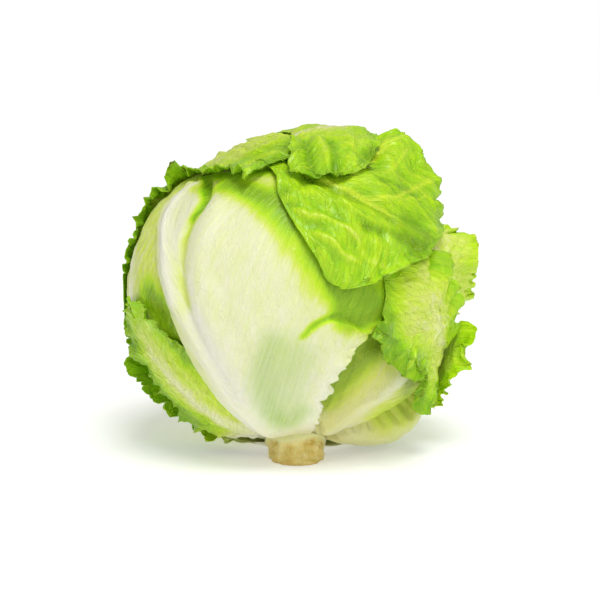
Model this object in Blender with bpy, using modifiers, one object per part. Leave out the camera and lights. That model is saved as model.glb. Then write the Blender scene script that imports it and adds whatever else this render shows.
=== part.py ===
"""Head of lettuce, at its real size: a cut stem, the packed heart, and the leaves wrapped round it.

Run with: blender --background --python part.py

Metres, +Z up. The origin is the middle of the cut face, which stands flat on the surface.
The head leans back from it, so the stem points down and towards -Y, the front.

A place on the head is written (up, round, height): degrees up from the stem, degrees round the
stem from the front towards +X, and millimetres out from the head's mean surface.
"""

from dataclasses import dataclass

import bmesh
import bpy
import numpy as np
from mathutils import Vector

# Driving dimensions, in metres.
HEAD_CENTRE = np.array((-0.005, 0.034, 0.085))
HEAD_RADIUS = 0.085
LEAF_THICKNESS = 0.0008
LEAF_SPACING = 0.0015
HEART_DEPTH = 0.025
BASE_UP = 11.2
STUMP_RADIUS = 0.0145
STEM_INNER_END = 0.036
STEM_SLOPE = 0.178
FIT_GAP = 0.0005
MM = 0.001

# Swellings and hollows of the round head: (up, round, height in mm, spread in degrees).
HEAD_SHAPE = [
    (0, 0, -6.0, 15),
    (22, 180, 3.5, 28),
    (40, 112, 9.0, 24),
    (131, -38, -7.5, 30),
    (148, 62, 5.0, 26),
]
FLOOR_BLEND = 0.0015

# A leaf flares towards its margins by this power of the way out from the rib.
FLARE = 2.0

# The size of the patches of direction, as a share of the radius, in which the leaves are stacked.
PATCH = 0.03

# The stem axis, and the directions at the front and the right of it.
STEM_AXIS = -HEAD_CENTRE / np.linalg.norm(HEAD_CENTRE)
FRONT = np.array((0.0, -1.0, 0.0))
FRONT = FRONT - STEM_AXIS * (FRONT @ STEM_AXIS)
FRONT = FRONT / np.linalg.norm(FRONT)
RIGHT = np.cross(FRONT, STEM_AXIS)

# Colours from the outside of the head to its middle, linear RGB.
OUTER_GREEN = (0.36, 0.60, 0.05)
PALE_GREEN = (0.66, 0.76, 0.34)
HEART_YELLOW = (0.80, 0.82, 0.50)
STEM_CREAM = (0.78, 0.66, 0.36)


@dataclass
class Leaf:
    """A leaf lofted through stations from the stem to the tip: left margin, rib and right margin."""

    name: str
    stations: list
    rows: int
    columns: int
    colour: tuple = PALE_GREEN


def wrapped_leaf(name, around, half_width, top, height, colour=PALE_GREEN):
    """A plain cupped leaf whose rib runs straight up the head at the angle around."""
    widths = [(BASE_UP, 0.45), (35, 0.85), (65, 1.0), (95, 0.95), (top - 14, 0.62), (top, 0)]
    stations = [
        [(up, around + side * share * half_width, height) for side in (-1, 0, 1)] for up, share in widths
    ]
    return Leaf(name, stations, rows=9, columns=4, colour=colour)


# The leaves from the middle outwards. The heart leaves take turns round the stem.
HEART_LEAVES = [
    wrapped_leaf(f"heart_leaf_{i + 1}", 144 * i, 62, 158, -20.5 + 1.5 * i, HEART_YELLOW) for i in range(5)
]
UNDER_LEAVES = [
    wrapped_leaf("under_leaf_back", 180, 48, 142, -14),
    wrapped_leaf("under_leaf_left", -118, 44, 138, -11.5),
    wrapped_leaf("under_leaf_right", 112, 44, 138, -13),
    wrapped_leaf("under_leaf_front", -6, 46, 128, -8),
]
OUTER_LEAVES = [
    Leaf(
        "side_leaf",
        [
            [(BASE_UP, 106, -11), (BASE_UP, 124, -11), (BASE_UP, 142, -11)],
            [(40, 92, -10), (40, 120, -10), (40, 150, -10)],
            [(68, 84, -9), (68, 118, -9), (68, 155, -9)],
            [(95, 74, -7), (95, 112, -6), (100, 152, -6)],
            [(115, 66, -5), (115, 104, -4), (124, 146, -4)],
            [(130, 62, -5), (130, 96, -4), (142, 130, -4)],
            [(141, 68, -5), (138, 92, -4), (150, 106, -4)],
            [(148, 84, -4.5), (143, 90, -4), (148, 84, -4.5)],
        ],
        rows=12,
        columns=6,
    ),
    Leaf(
        "left_leaf",
        [
            [(BASE_UP, -88, -5), (BASE_UP, -64, -4), (BASE_UP, -40, -3.5)],
            [(30, -99, -3.5), (30, -68, -2.5), (30, -31, -2.5)],
            [(50, -107, -3), (48, -71, -2), (48, -28, -2.5)],
            [(70, -111, -3), (66, -73, -2), (68, -28, -2.5)],
            [(90, -110, -3), (84, -74, -2), (88, -30, -2.5)],
            [(108, -104, -3), (100, -74, -2), (106, -36, -2.5)],
            [(121, -94, -2.5), (112, -74, -2), (119, -50, -2.5)],
            [(129, -75, -2), (120, -74, -2), (129, -75, -2)],
        ],
        rows=12,
        columns=4,
    ),
    Leaf(
        "bottom_right_leaf",
        [
            [(BASE_UP, 57, -4), (BASE_UP, 88, -4), (BASE_UP, 118, -6)],
            [(20, 58, -4), (20, 90, 0), (22, 118, -4)],
            [(30, 68, -5), (30, 96, 3.5), (33, 122, -4)],
            [(40, 79, -5), (40, 100, 5), (45, 124, -4)],
            [(52, 86, -4), (50, 103, 2.5), (57, 124, -5)],
            [(64, 88, -4), (60, 105, -1), (68, 122, -5)],
            [(73, 93, -4.5), (68, 105, -3), (75, 114, -4.5)],
            [(77, 103, -5), (73, 104, -4.5), (77, 103, -5)],
        ],
        rows=16,
        columns=5,
    ),
    Leaf(
        "front_right_leaf",
        [
            [(BASE_UP, 14, -2.5), (BASE_UP, 42, -2), (BASE_UP, 66, -3)],
            [(24, 6, -2.5), (20, 40, -2.5), (20, 64, -3)],
            [(38, 3, -2.5), (29, 48, -3), (29, 73, -3.5)],
            [(52, 6, -2.5), (38, 58, -3.5), (38, 83, -4)],
            [(65, 16, -2.5), (47, 66, -4), (47, 91, -4)],
            [(75, 32, -2.5), (56, 71, -3), (58, 95, -4)],
            [(81, 48, -3), (64, 72, -3), (70, 88, -3.5)],
            [(80, 66, -3), (73, 69, -3), (80, 66, -3)],
        ],
        rows=13,
        columns=4,
    ),
    Leaf(
        "lower_left_leaf",
        [
            [(BASE_UP, -74, -3), (BASE_UP, -56, -2.5), (BASE_UP, -40, -2)],
            [(21, -84, 0), (22, -58, -1), (22, -36, -1)],
            [(33, -91, 1), (33, -60, -0.7), (34, -34, -1)],
            [(44, -91, 1), (44, -61, -0.5), (46, -34, -1)],
            [(54, -87, 1), (54, -63, -0.5), (56, -38, -0.5)],
            [(63, -84, 0.5), (63, -65, -0.5), (65, -47, 0)],
            [(72, -83, 0), (70, -66, -0.5), (73, -52, 0)],
            [(80, -79, 0), (76, -67, -0.5), (80, -57, 0)],
            [(86, -67, 0), (81, -67, 0), (86, -67, 0)],
        ],
        rows=13,
        columns=4,
    ),
    Leaf(
        "front_leaf",
        [
            [(BASE_UP, -44, -0.5), (BASE_UP, -14, 0), (BASE_UP, 26, -0.5)],
            [(22, -38, 0.5), (20, -18, 0.5), (17, 24, 0)],
            [(33, -37.5, 0.5), (30, -22, 1), (25, 20, 0)],
            [(43, -38, 0.5), (40, -25, 1), (33, 18, 0)],
            [(53, -39, 0.5), (50, -28, 1), (42, 21, 0)],
            [(65, -41, 0.5), (60, -30, 1), (51, 23, 0)],
            [(77, -44, 0.5), (70, -32, 1), (59, 28, 0.5)],
            [(90, -47, 0.5), (80, -34, 1), (66, 37, 0.5)],
            [(101, -50, 0.5), (88, -36, 1), (71, 44, 0)],
            [(110, -51, 0), (96, -37.5, 1), (81, 46, -0.5)],
            [(118, -48, -0.5), (103, -38, 0.5), (93, 36, -0.5)],
            [(123, -43, -1.5), (109, -37, 0), (103, 22, -1)],
            [(126, -38, -2), (114, -36, -1), (112, 7, -1.5)],
            [(127, -33, -2), (118, -34, -1.5), (121, -9, -2)],
            [(128, -28, -2), (121, -31, -1.5), (128, -28, -2)],
        ],
        rows=18,
        columns=5,
    ),
    Leaf(
        "right_leaf",
        [
            [(BASE_UP, 112, -7), (BASE_UP, 126, -7), (BASE_UP, 143, -8)],
            [(28, 114, -5), (28, 125, -5.5), (30, 142, -7)],
            [(41, 113, -2.5), (44, 120, -4), (50, 136, -6)],
            [(48, 107, -0.5), (55, 111, -2), (65, 122, -4)],
            [(49, 98, 2), (62, 101, 0), (71, 104, -1)],
            [(44, 91, 3), (66, 91, 1.5), (73, 92, 1.5)],
            [(39, 85, 4), (67, 81, 2), (75, 79, 2)],
            [(44, 77, 1.5), (68, 72, 2), (80, 65, 1.5)],
            [(47, 69, 1.5), (67, 64, 2), (88, 51, 0.5)],
            [(48, 61, 2), (64, 58, 2), (84, 41, 0.5)],
            [(49, 54, 2.5), (61, 53, 2.5), (72, 40, 3)],
            [(51, 48, 3), (58, 49, 3), (62, 40, 3)],
            [(55, 43, 3), (56, 46, 3), (55, 43, 3)],
        ],
        rows=22,
        columns=4,
        colour=OUTER_GREEN,
    ),
    Leaf(
        "upper_right_leaf",
        [
            [(BASE_UP, 137, -9), (BASE_UP, 152, -9), (BASE_UP, 168, -9)],
            [(32, 134, -8), (32, 149, -8), (36, 166, -8)],
            [(50, 124, -6.5), (52, 139, -6.5), (60, 157, -7)],
            [(64, 109, -4), (66, 120, -4), (77, 141, -5)],
            [(72, 93, -1), (76, 100, -1), (85, 118, -1)],
            [(77, 76, -2), (83, 86, 1.5), (86, 98, 6)],
            [(83, 60, -2.5), (90, 76, 2), (90, 87, 14)],
            [(91, 48, -2.5), (95, 69, 0), (95, 84, 19)],
            [(99, 45, -2.5), (99, 64, -1), (102, 84, 9)],
            [(105, 49, -3), (103, 60, -2), (108, 75, -2)],
            [(110, 57, -3), (106, 58, -2), (110, 57, -3)],
        ],
        rows=20,
        columns=5,
        colour=OUTER_GREEN,
    ),
    Leaf(
        "right_curl_leaf",
        [
            [(BASE_UP, 116, -4), (BASE_UP, 131, -4), (BASE_UP, 148, -4.5)],
            [(28, 118, -3), (30, 130, -3), (34, 146, -4.5)],
            [(41, 113, -1), (44, 124, -2), (52, 138, -4)],
            [(49, 103, 3), (54, 114, 1), (65, 124, -1)],
            [(53, 95, 8), (61, 105, 4), (73, 110, 2.5)],
            [(55, 92.5, 10), (65, 98, 7.5), (76, 97, 7.5)],
            [(59, 91, 11.5), (67, 94, 10), (74, 89, 13)],
            [(66, 89, 14), (67, 91, 12), (66, 89, 14)],
        ],
        rows=13,
        columns=4,
        colour=OUTER_GREEN,
    ),
    Leaf(
        "back_left_leaf",
        [
            [(BASE_UP, -148, -4.5), (BASE_UP, -122, -4.5), (BASE_UP, -97, -4)],
            [(30, -160, -4.5), (28, -128, -4), (25, -99, 0)],
            [(48, -168, -4.5), (44, -132, -3.5), (38, -98, 2)],
            [(66, -172, -4.5), (58, -134, -3.5), (50, -94, 3)],
            [(84, -171, -4.5), (72, -134, -3.5), (60, -91, 3)],
            [(98, -162, -4.5), (84, -132, -3.5), (71, -92, 1)],
            [(109, -150, -4.5), (94, -129, -3.5), (84, -90, 0)],
            [(115, -139, -4), (102, -127, -3.5), (97, -97, -2)],
            [(118, -129, -4), (108, -123, -3.5), (108, -108, -3)],
            [(117, -119, -4), (112, -120, -4), (117, -119, -4)],
        ],
        rows=15,
        columns=5,
        colour=OUTER_GREEN,
    ),
    Leaf(
        "drooping_leaf",
        [
            [(BASE_UP, 155, -3), (BASE_UP, 172, -3), (BASE_UP, -170, -3)],
            [(35, 152, -3), (35, 172, -3), (35, -166, -3)],
            [(60, 150, -3), (60, 172, -3), (60, -162, -3)],
            [(85, 148, -3), (85, 172, -3), (85, -160, -3)],
            [(108, 146, -3), (110, 172, -3), (110, -156, -3)],
            [(128, 138, -3), (133, 171, -3), (133, -150, -3)],
            [(143, 124, -3), (154, 164, -3), (155, -134, -3)],
            [(152, 98, -2.5), (172, 110, -3), (166, -70, -3)],
            [(148, 70, -1), (157, 24, -3), (151, -24, -3)],
            [(139, 66, 9), (141, 14, -2), (137, -9, -2.5)],
            [(133, 70, 17), (131, 13, -1), (127, -5, -1)],
            [(127, 73, 13), (123, 17, 0.5), (118, -2, 1)],
            [(121, 75, 9), (116, 24, 1.5), (109, 0, 2)],
            [(115, 78, 6), (110, 31, 2), (100, 4, 2.5)],
            [(109, 80, 4), (105, 37, 2.5), (91, 9, 3)],
            [(104, 73, 3), (100, 41, 2.5), (83, 14, 3)],
            [(99, 66, 3), (96, 43, 3), (77, 21, 3.5)],
            [(94, 58, 3), (91, 45, 3), (80, 34, 3.5)],
            [(86, 48, 3), (88, 47, 3), (86, 48, 3)],
        ],
        rows=27,
        columns=5,
        colour=OUTER_GREEN,
    ),
    Leaf(
        "top_leaf",
        [
            [(BASE_UP, -172, -1.5), (BASE_UP, -150, -1), (BASE_UP, -128, -1.5)],
            [(32, 178, -1.5), (30, -151, -0.5), (28, -118, -1.5)],
            [(52, 176, -1.5), (48, -152, -1.5), (44, -113, -1)],
            [(74, 175, -1.5), (68, -151, -1.5), (60, -109, 0)],
            [(96, 172, -1.5), (88, -148, -1.5), (76, -100, 1.5)],
            [(118, 167, -1.5), (108, -142, -1.5), (89, -86, 3)],
            [(138, 158, -1.5), (124, -130, -1.5), (100, -78, 4)],
            [(153, 140, -1.5), (135, -110, -1.5), (109, -68, 3)],
            [(162, 100, -1.5), (139, -86, -1.5), (117, -59, 2.5)],
            [(160, 40, -1.5), (139, -63, -1.2), (123, -48, 2.5)],
            [(148, 14, -1.5), (137, -44, -0.5), (125, -34, 2)],
            [(136, 4, -0.5), (134, -29, 0), (121, -20, 1.5)],
            [(123, -4, 1.5), (130, -18, 0.5), (123, -4, 1.5)],
        ],
        rows=20,
        columns=6,
        colour=OUTER_GREEN,
    ),
    Leaf(
        "crown_leaf",
        [
            [(BASE_UP, 132, 0), (BASE_UP, 150, 0), (BASE_UP, 168, 0)],
            [(32, 127, 0), (32, 150, 0), (32, 172, 0)],
            [(55, 124, 0), (55, 150, 0), (55, 176, 0)],
            [(80, 122, 0), (80, 150, 0), (80, 178, 0)],
            [(104, 120, 0), (105, 149, 0), (106, 180, 0)],
            [(126, 114, 0), (129, 144, 0), (130, -177, 0)],
            [(144, 103, 0), (149, 130, 0), (152, -164, 0)],
            [(154, 82, 0.5), (160, 92, 0), (166, -120, 0)],
            [(153, 62, 1.5), (157, 56, 0), (166, -45, 0)],
            [(144, 50, 2.5), (147, 36, 0.5), (150, -8, 0.5)],
            [(133, 38, 2.5), (136, 26, 1.5), (135, 3, 2)],
            [(122, 28, 3), (127, 19, 2.5), (124, 6, 3)],
            [(115, 16, 4), (120, 16, 3), (115, 16, 4)],
        ],
        rows=20,
        columns=5,
        colour=OUTER_GREEN,
    ),
]


def direction(up, around):
    """Unit vectors from the head's centre."""
    up = np.radians(up)[..., None]
    around = np.radians(around)[..., None]
    return np.cos(up) * STEM_AXIS + np.sin(up) * (np.cos(around) * FRONT + np.sin(around) * RIGHT)


def head_radius(directions):
    """Distance from the head's centre to its outer surface, which is flat where it rests."""
    radius = np.full(directions.shape[:-1], HEAD_RADIUS)
    for up, around, height, spread in HEAD_SHAPE:
        cosine = directions @ direction(np.array(float(up)), np.array(float(around)))
        angle = np.degrees(np.arccos(np.clip(cosine, -1, 1)))
        radius = radius + height * MM * np.exp(-((angle / spread) ** 2))
    to_floor = HEAD_CENTRE[2] / np.maximum(-directions[..., 2], 0.2)
    return -FLOOR_BLEND * np.logaddexp(-radius / FLOOR_BLEND, -to_floor / FLOOR_BLEND)


def smooth_rows(stations, count, dense=16):
    """A Catmull-Rom loft through the stations: evenly spaced rows of left, rib and right.

    Each is a unit vector and a height in metres.
    """
    up, around, height = np.moveaxis(np.array(stations, float), -1, 0)
    knots = np.concatenate([direction(up, around), height[..., None] * MM], axis=-1)
    knots = np.concatenate([[2 * knots[0] - knots[1]], knots, [2 * knots[-1] - knots[-2]]])
    t = np.linspace(0, 1, dense, endpoint=False)[:, None, None]
    pieces = [
        0.5 * (2 * b + (c - a) * t + (2 * a - 5 * b + 4 * c - d) * t**2 + (3 * b - a - 3 * c + d) * t**3)
        for a, b, c, d in zip(knots, knots[1:], knots[2:], knots[3:])
    ]
    path = np.concatenate([*pieces, knots[-2:-1]])
    steps = np.linalg.norm(np.diff(path[..., :3], axis=0), axis=-1).mean(axis=1)
    along = np.concatenate([[0], np.cumsum(steps)])
    wanted = np.linspace(0, along[-1], count)
    flat = path.reshape(len(path), -1)
    rows = np.stack([np.interp(wanted, along, column) for column in flat.T], axis=1).reshape(count, 3, 4)
    rows[..., :3] /= np.linalg.norm(rows[..., :3], axis=-1, keepdims=True)
    return rows


def leaf_polar(leaf):
    """Directions and radii over the leaf, by row from stem to tip and by column from margin to margin."""
    rows = smooth_rows(leaf.stations, leaf.rows + 1)
    rib = rows[:, 1]
    halves = []
    for edge in (rows[:, 0], rows[:, 2]):
        across = np.linspace(0, 1, leaf.columns + 1)[None, :, None]
        angle = np.arccos(np.clip(np.sum(rib[:, :3] * edge[:, :3], axis=1), -1, 1))[:, None, None]
        angle = np.maximum(angle, 1e-6)
        turned = (np.sin((1 - across) * angle) * rib[:, None, :3]
                  + np.sin(across * angle) * edge[:, None, :3]) / np.sin(angle)
        flare = across[..., 0] ** FLARE
        height = rib[:, None, 3] * (1 - flare) + edge[:, None, 3] * flare
        halves.append((turned, head_radius(turned) + height))
    (left, left_radius), (right, right_radius) = halves
    return (np.concatenate([left[:, :0:-1], right], axis=1),
            np.concatenate([left_radius[:, :0:-1], right_radius], axis=1))


class Wrapping:
    """How far in the leaves laid so far reach, for each small patch of directions."""

    def __init__(self):
        self.reach = np.full((round(2.4 / PATCH),) * 3, 2 * HEAD_RADIUS)

    def patches(self, directions):
        return np.moveaxis(((directions + 1.2) / PATCH).astype(int), -1, 0)

    def room(self, directions):
        """The shortest reach in the patch at each direction and the patches next to it."""
        here = self.patches(directions)
        found = np.full(directions.shape[:-1], np.inf)
        for step in np.ndindex(3, 3, 3):
            beside = here + (np.array(step) - 1).reshape(3, *[1] * (here.ndim - 1))
            found = np.minimum(found, self.reach[tuple(beside)])
        return found

    def lay(self, points):
        """Take in a grid of points, filled in along its facets so that no patch is missed."""
        grid = points - HEAD_CENTRE
        for _ in range(3):
            grid = halved(halved(grid).swapaxes(0, 1)).swapaxes(0, 1)
        radii = np.linalg.norm(grid, axis=-1)
        np.minimum.at(self.reach, tuple(self.patches(grid / radii[..., None])), radii)


def halved(grid):
    """A grid with a row put half way between each two."""
    finer = np.repeat(grid, 2, axis=0)[:-1]
    finer[1::2] = (grid[1:] + grid[:-1]) / 2
    return finer


def leaf_grid(leaf, wrapping):
    """Points of the leaf's outer face, tucked in under the leaves outside it."""
    directions, radii = leaf_polar(leaf)
    radii = np.minimum(radii, wrapping.room(directions) - LEAF_SPACING)
    points = HEAD_CENTRE + directions * radii[..., None]
    wrapping.lay(points)
    return points


def collection_of(name):
    made = bpy.data.collections.new(name)
    bpy.context.scene.collection.children.link(made)
    return made


def new_object(name, mesh, colour, roughness=0.5):
    """An object in the lettuce's collection, with a plain material of its own."""
    material = bpy.data.materials.new(name)
    material.use_nodes = True
    shader = material.node_tree.nodes["Principled BSDF"]
    shader.inputs["Base Color"].default_value = (*colour, 1)
    shader.inputs["Roughness"].default_value = roughness
    shader.inputs["Metallic"].default_value = 0
    mesh.materials.append(material)
    made = bpy.data.objects.new(name, mesh)
    LETTUCE.objects.link(made)
    return made


def make_leaf(leaf, wrapping):
    """A leaf as an open curved sheet, which Solidify thickens inwards."""
    grid = leaf_grid(leaf, wrapping)
    rows, columns = grid.shape[:2]
    bm = bmesh.new()
    verts = [[bm.verts.new(point) for point in row] for row in grid]
    for r in range(rows - 1):
        for c in range(columns - 1):
            bm.faces.new((verts[r][c], verts[r][c + 1], verts[r + 1][c + 1], verts[r + 1][c]))
    bmesh.ops.remove_doubles(bm, verts=bm.verts, dist=1e-5)
    bm.normal_update()
    centre = Vector(HEAD_CENTRE)
    if sum((face.calc_center_median() - centre).dot(face.normal) for face in bm.faces) < 0:
        bmesh.ops.reverse_faces(bm, faces=bm.faces)
    mesh = bpy.data.meshes.new(leaf.name)
    bm.to_mesh(mesh)
    bm.free()
    mesh.shade_smooth()
    made = new_object(leaf.name, mesh, leaf.colour)
    solidify = made.modifiers.new("thickness", "SOLIDIFY")
    solidify.thickness = LEAF_THICKNESS
    solidify.offset = -1
    return made


def stand_on_stem_axis(made, distance):
    """Put an object down the stem from the head's centre, its own -Z along the stem."""
    made.location = HEAD_CENTRE + distance * STEM_AXIS
    made.rotation_mode = "QUATERNION"
    made.rotation_quaternion = Vector((0, 0, 1)).rotation_difference(Vector(-STEM_AXIS))


def cut(target, cutter):
    cutter.hide_render = True
    cutter.display_type = "WIRE"
    boolean = target.modifiers.new(cutter.name, "BOOLEAN")
    boolean.operation = "DIFFERENCE"
    boolean.object = cutter
    boolean.solver = "EXACT"


def make_stem():
    """The core tapers into the heart, and the cut face is level although the stem leans."""
    face = np.linalg.norm(HEAD_CENTRE)
    profile = [(0, STEM_INNER_END), (0.6 * STEM_SLOPE * STEM_INNER_END, STEM_INNER_END)]
    profile += [(STEM_SLOPE * d, d) for d in (1.12 * STEM_INNER_END, 0.058, 0.078)]
    profile += [(0.98 * STUMP_RADIUS, 0.0815), (1.03 * STUMP_RADIUS, 0.085), (STUMP_RADIUS, face - 0.002)]
    profile += [(0.97 * STUMP_RADIUS, face + 0.012), (0, face + 0.012)]
    mesh = bpy.data.meshes.new("stem")
    points = [(radius, 0, -distance) for radius, distance in profile]
    mesh.from_pydata(points, [(i, i + 1) for i in range(len(points) - 1)], [])
    stem = new_object("stem", mesh, STEM_CREAM, 0.6)
    stand_on_stem_axis(stem, 0)
    screw = stem.modifiers.new("turned", "SCREW")
    screw.steps = screw.render_steps = 24
    screw.use_merge_vertices = True
    screw.merge_threshold = 0.00001
    bpy.ops.mesh.primitive_cube_add(size=0.08, location=(0, 0, -0.04))
    ground = bpy.context.object
    ground.name = "ground_cutter"
    move_to_cutters(ground)
    cut(stem, ground)


def make_heart(wrapping):
    """The tight innermost leaves as one solid, hollowed for the core of the stem."""
    bm = bmesh.new()
    bmesh.ops.create_icosphere(bm, subdivisions=3, radius=1)
    for vert in bm.verts:
        way = np.array(vert.co.normalized())
        radius = min(head_radius(way) - HEART_DEPTH, wrapping.room(way) - LEAF_SPACING)
        vert.co = HEAD_CENTRE + way * radius
    mesh = bpy.data.meshes.new("heart")
    bm.to_mesh(mesh)
    bm.free()
    mesh.shade_smooth()
    heart = new_object("heart", mesh, HEART_YELLOW)
    start, end = STEM_INNER_END - FIT_GAP, HEAD_RADIUS
    wide, narrow = (STEM_SLOPE * 1.04 * d + FIT_GAP for d in (end, start))
    bm = bmesh.new()
    bmesh.ops.create_cone(bm, cap_ends=True, segments=24, radius1=wide, radius2=narrow, depth=end - start)
    mesh = bpy.data.meshes.new("core_cutter")
    bm.to_mesh(mesh)
    bm.free()
    socket = bpy.data.objects.new("core_cutter", mesh)
    stand_on_stem_axis(socket, (start + end) / 2)
    CUTTERS.objects.link(socket)
    cut(heart, socket)


def move_to_cutters(made):
    for holder in list(made.users_collection):
        holder.objects.unlink(made)
    CUTTERS.objects.link(made)


for old in list(bpy.data.objects):
    bpy.data.objects.remove(old)
LETTUCE = collection_of("head_of_lettuce")
CUTTERS = collection_of("cutters")
make_stem()
wrapping = Wrapping()
for leaf in reversed([*HEART_LEAVES, *UNDER_LEAVES, *OUTER_LEAVES]):
    make_leaf(leaf, wrapping)
make_heart(wrapping)
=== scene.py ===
"""The looks of the head of lettuce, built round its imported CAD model.

Each leaf is a fine sheet, wrapped round the head where its CAD node is, with its ribs, veins,
blisters, teeth and ruffles as real shape. Some run on further under the leaves outside them. The
leaves are laid from the outside of the head inwards, each pushed in under those laid before it.

A place on the head is written (up, round, height): degrees up from the stem, degrees round the
stem from the front towards +X, and millimetres out from the head's mean surface. A line drawn on a
leaf leaves the height out, and a leaf's base, which is on the stem, the angle up.
"""

from dataclasses import dataclass, field
from functools import partial

import bpy
import numpy as np
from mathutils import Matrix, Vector


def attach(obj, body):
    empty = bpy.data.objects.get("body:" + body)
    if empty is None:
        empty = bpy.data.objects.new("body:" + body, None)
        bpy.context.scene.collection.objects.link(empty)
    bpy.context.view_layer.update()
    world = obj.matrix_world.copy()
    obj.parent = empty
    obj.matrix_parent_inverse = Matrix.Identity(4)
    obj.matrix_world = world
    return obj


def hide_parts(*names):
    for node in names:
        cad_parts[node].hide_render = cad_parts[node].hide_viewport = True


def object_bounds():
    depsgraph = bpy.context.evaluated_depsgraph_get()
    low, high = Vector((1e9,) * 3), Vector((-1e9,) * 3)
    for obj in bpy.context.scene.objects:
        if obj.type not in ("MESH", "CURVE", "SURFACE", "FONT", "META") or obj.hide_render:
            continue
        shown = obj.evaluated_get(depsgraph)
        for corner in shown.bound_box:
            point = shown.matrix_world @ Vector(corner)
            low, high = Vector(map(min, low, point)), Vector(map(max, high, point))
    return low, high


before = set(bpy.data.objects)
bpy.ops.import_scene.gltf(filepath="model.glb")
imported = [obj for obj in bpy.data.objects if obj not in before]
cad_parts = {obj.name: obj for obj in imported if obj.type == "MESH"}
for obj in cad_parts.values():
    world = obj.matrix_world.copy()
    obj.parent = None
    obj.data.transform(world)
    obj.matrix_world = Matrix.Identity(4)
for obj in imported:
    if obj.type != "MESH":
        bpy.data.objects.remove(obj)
CAD_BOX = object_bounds()

MM = 0.001

# The round head and its swellings and hollows, as in the CAD: (up, round, height, spread in degrees).
HEAD_CENTRE = np.array((-0.005, 0.034, 0.085))
HEAD_RADIUS = 0.085
HEAD_SHAPE = [
    (0, 0, -6.0, 15),
    (22, 180, 3.5, 28),
    (40, 112, 9.0, 24),
    (131, -38, -7.5, 30),
    (148, 62, 5.0, 26),
]
# The metres over which the round head turns flat where it rests on the floor.
FLOOR_BLEND = 0.0015
# Every leaf starts this many degrees up from the middle of the stem.
BASE_UP = 11.2
# A leaf's height follows its margins by this power of the way out from the rib.
FLARE = 2.0

# Each leaf's outer face keeps this far from the one outside it.
LEAF_SPACING = 0.0013
# The leaves are stacked in patches of direction: each one's size, and how far they run each way from
# the head's centre, as shares of the distance from it.
PATCH = 0.03
PATCHES_REACH = 1.2

# A leaf is this thick in its blade, at its margin, and more along its rib.
BLADE_THICKNESS = 0.0007
MARGIN_THICKNESS = 0.0004
RIB_THICKNESS = 0.0005

# Every leaf keeps this far inside the CAD model's box, and eases up to it over BOX_EASE.
BOX_MARGIN = 0.001
BOX_EASE = 0.0008

# A leaf stops this share of its length short of the point where its two margins meet.
TIP_SHARE = 0.012

STEM_AXIS = -HEAD_CENTRE / np.linalg.norm(HEAD_CENTRE)
FRONT = np.array((0.0, -1.0, 0.0))
FRONT = FRONT - STEM_AXIS * (FRONT @ STEM_AXIS)
FRONT = FRONT / np.linalg.norm(FRONT)
RIGHT = np.cross(FRONT, STEM_AXIS)

# The stump's radius, how far from the head's centre the stem's core starts, the core's radius as a
# share of that distance, where the stump starts, and the stem's mesh.
STUMP_RADIUS = 0.0145
STEM_INNER_END = 0.036
STEM_SLOPE = 0.178
STUMP_START = 0.078
STEM_SIDES = 144
STEM_ROWS = 150
# Where the leaf bases end, as a collar round the stump: its depth and how far it stands out.
COLLAR_DEPTH = 0.0862
COLLAR_HEIGHT = 0.0014
# The knobs on the stump: how many go round it, each one's length along it, and the ledges' spacing.
KNOBS_AROUND = 24
KNOB_LENGTH = 0.0024
LEDGE_SPACING = 0.0036

# Colours of 0 to 255 in sRGB: from a leaf's white base to its greenest margin, its tints, of which some are
# painted shade, and then the heart's and the stem's.
LEAF_COLOURS = [
    (0.0, (246, 246, 226)),
    (0.12, (234, 240, 190)),
    (0.32, (212, 232, 104)),
    (0.55, (180, 226, 6)),
    (0.78, (148, 208, 0)),
    (1.0, (108, 168, 0)),
]
# Painted shade: the grey green of the shade behind a thin patch of leaf, showing through it.
SEE_THROUGH_SHADE_TINT = (150, 190, 84)
# Khaki: the leaves' own yellowish bases, and partly painted shade with yellow light bounced under the head.
KHAKI_AND_SHADE_TINT = (204, 200, 96)
# Painted shade: a dark olive put in hollows, creases and under overhanging leaves.
PAINTED_SHADE_TINT = (108, 136, 6)
VEIN_TINT = (222, 244, 64)
HEART_COLOURS = [(0.3, (222, 226, 150)), (0.5, (236, 238, 190)), (0.7, (206, 220, 120))]
STEM_COLOURS = [(0.25, (204, 170, 74)), (0.5, (226, 204, 116)), (0.75, (240, 230, 166))]
FIBRE_COLOUR = (176, 140, 62)
SHEATH_COLOUR = (226, 226, 166)
CUT_RIM_COLOUR = (170, 132, 66)

# The camera looks down a little, with the head a little left of the middle and above it.
CAMERA_AIM = HEAD_CENTRE + np.array((0.0069, -0.0013, -0.0073))
CAMERA_ELEVATION = 10
CAMERA_DISTANCE = 0.9
CAMERA_LENS = 101.9

# The studio: the room's light on the head, the floor's own, a wide soft sun overhead and a disk in front.
ROOM_LIGHT = 0.42
TABLE_LIGHT = 0.3
FLOOR_GREYS = [(0.3, (0.77, 0.77, 0.77, 1)), (0.7, (0.79, 0.79, 0.79, 1))]
FLOOR_SIZE = 6
SUN_POWER = 2.0
SUN_ANGLE = 28
SUN_FROM = (0.13, -0.4, 1.0)
FRONT_LIGHT_PLACE = (0.4, -1.1, 0.6)
FRONT_LIGHT_SIZE = 0.6
FRONT_LIGHT_POWER = 2.2


@dataclass
class Line:
    """A line drawn on a leaf: ridge and step move its face by amount mm, and a bite its margin.

    A calm line takes ruffles away from the margin beside it, and the others tint the leaf by amount.
    """

    kind: str
    path: list
    width: float  # mm
    amount: float
    fade: float = 0.15  # the share of a tapered line that each end fades over


Ridge, Step, Bite, Calm = (partial(Line, kind) for kind in ("ridge", "step", "bite", "calm"))
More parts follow.
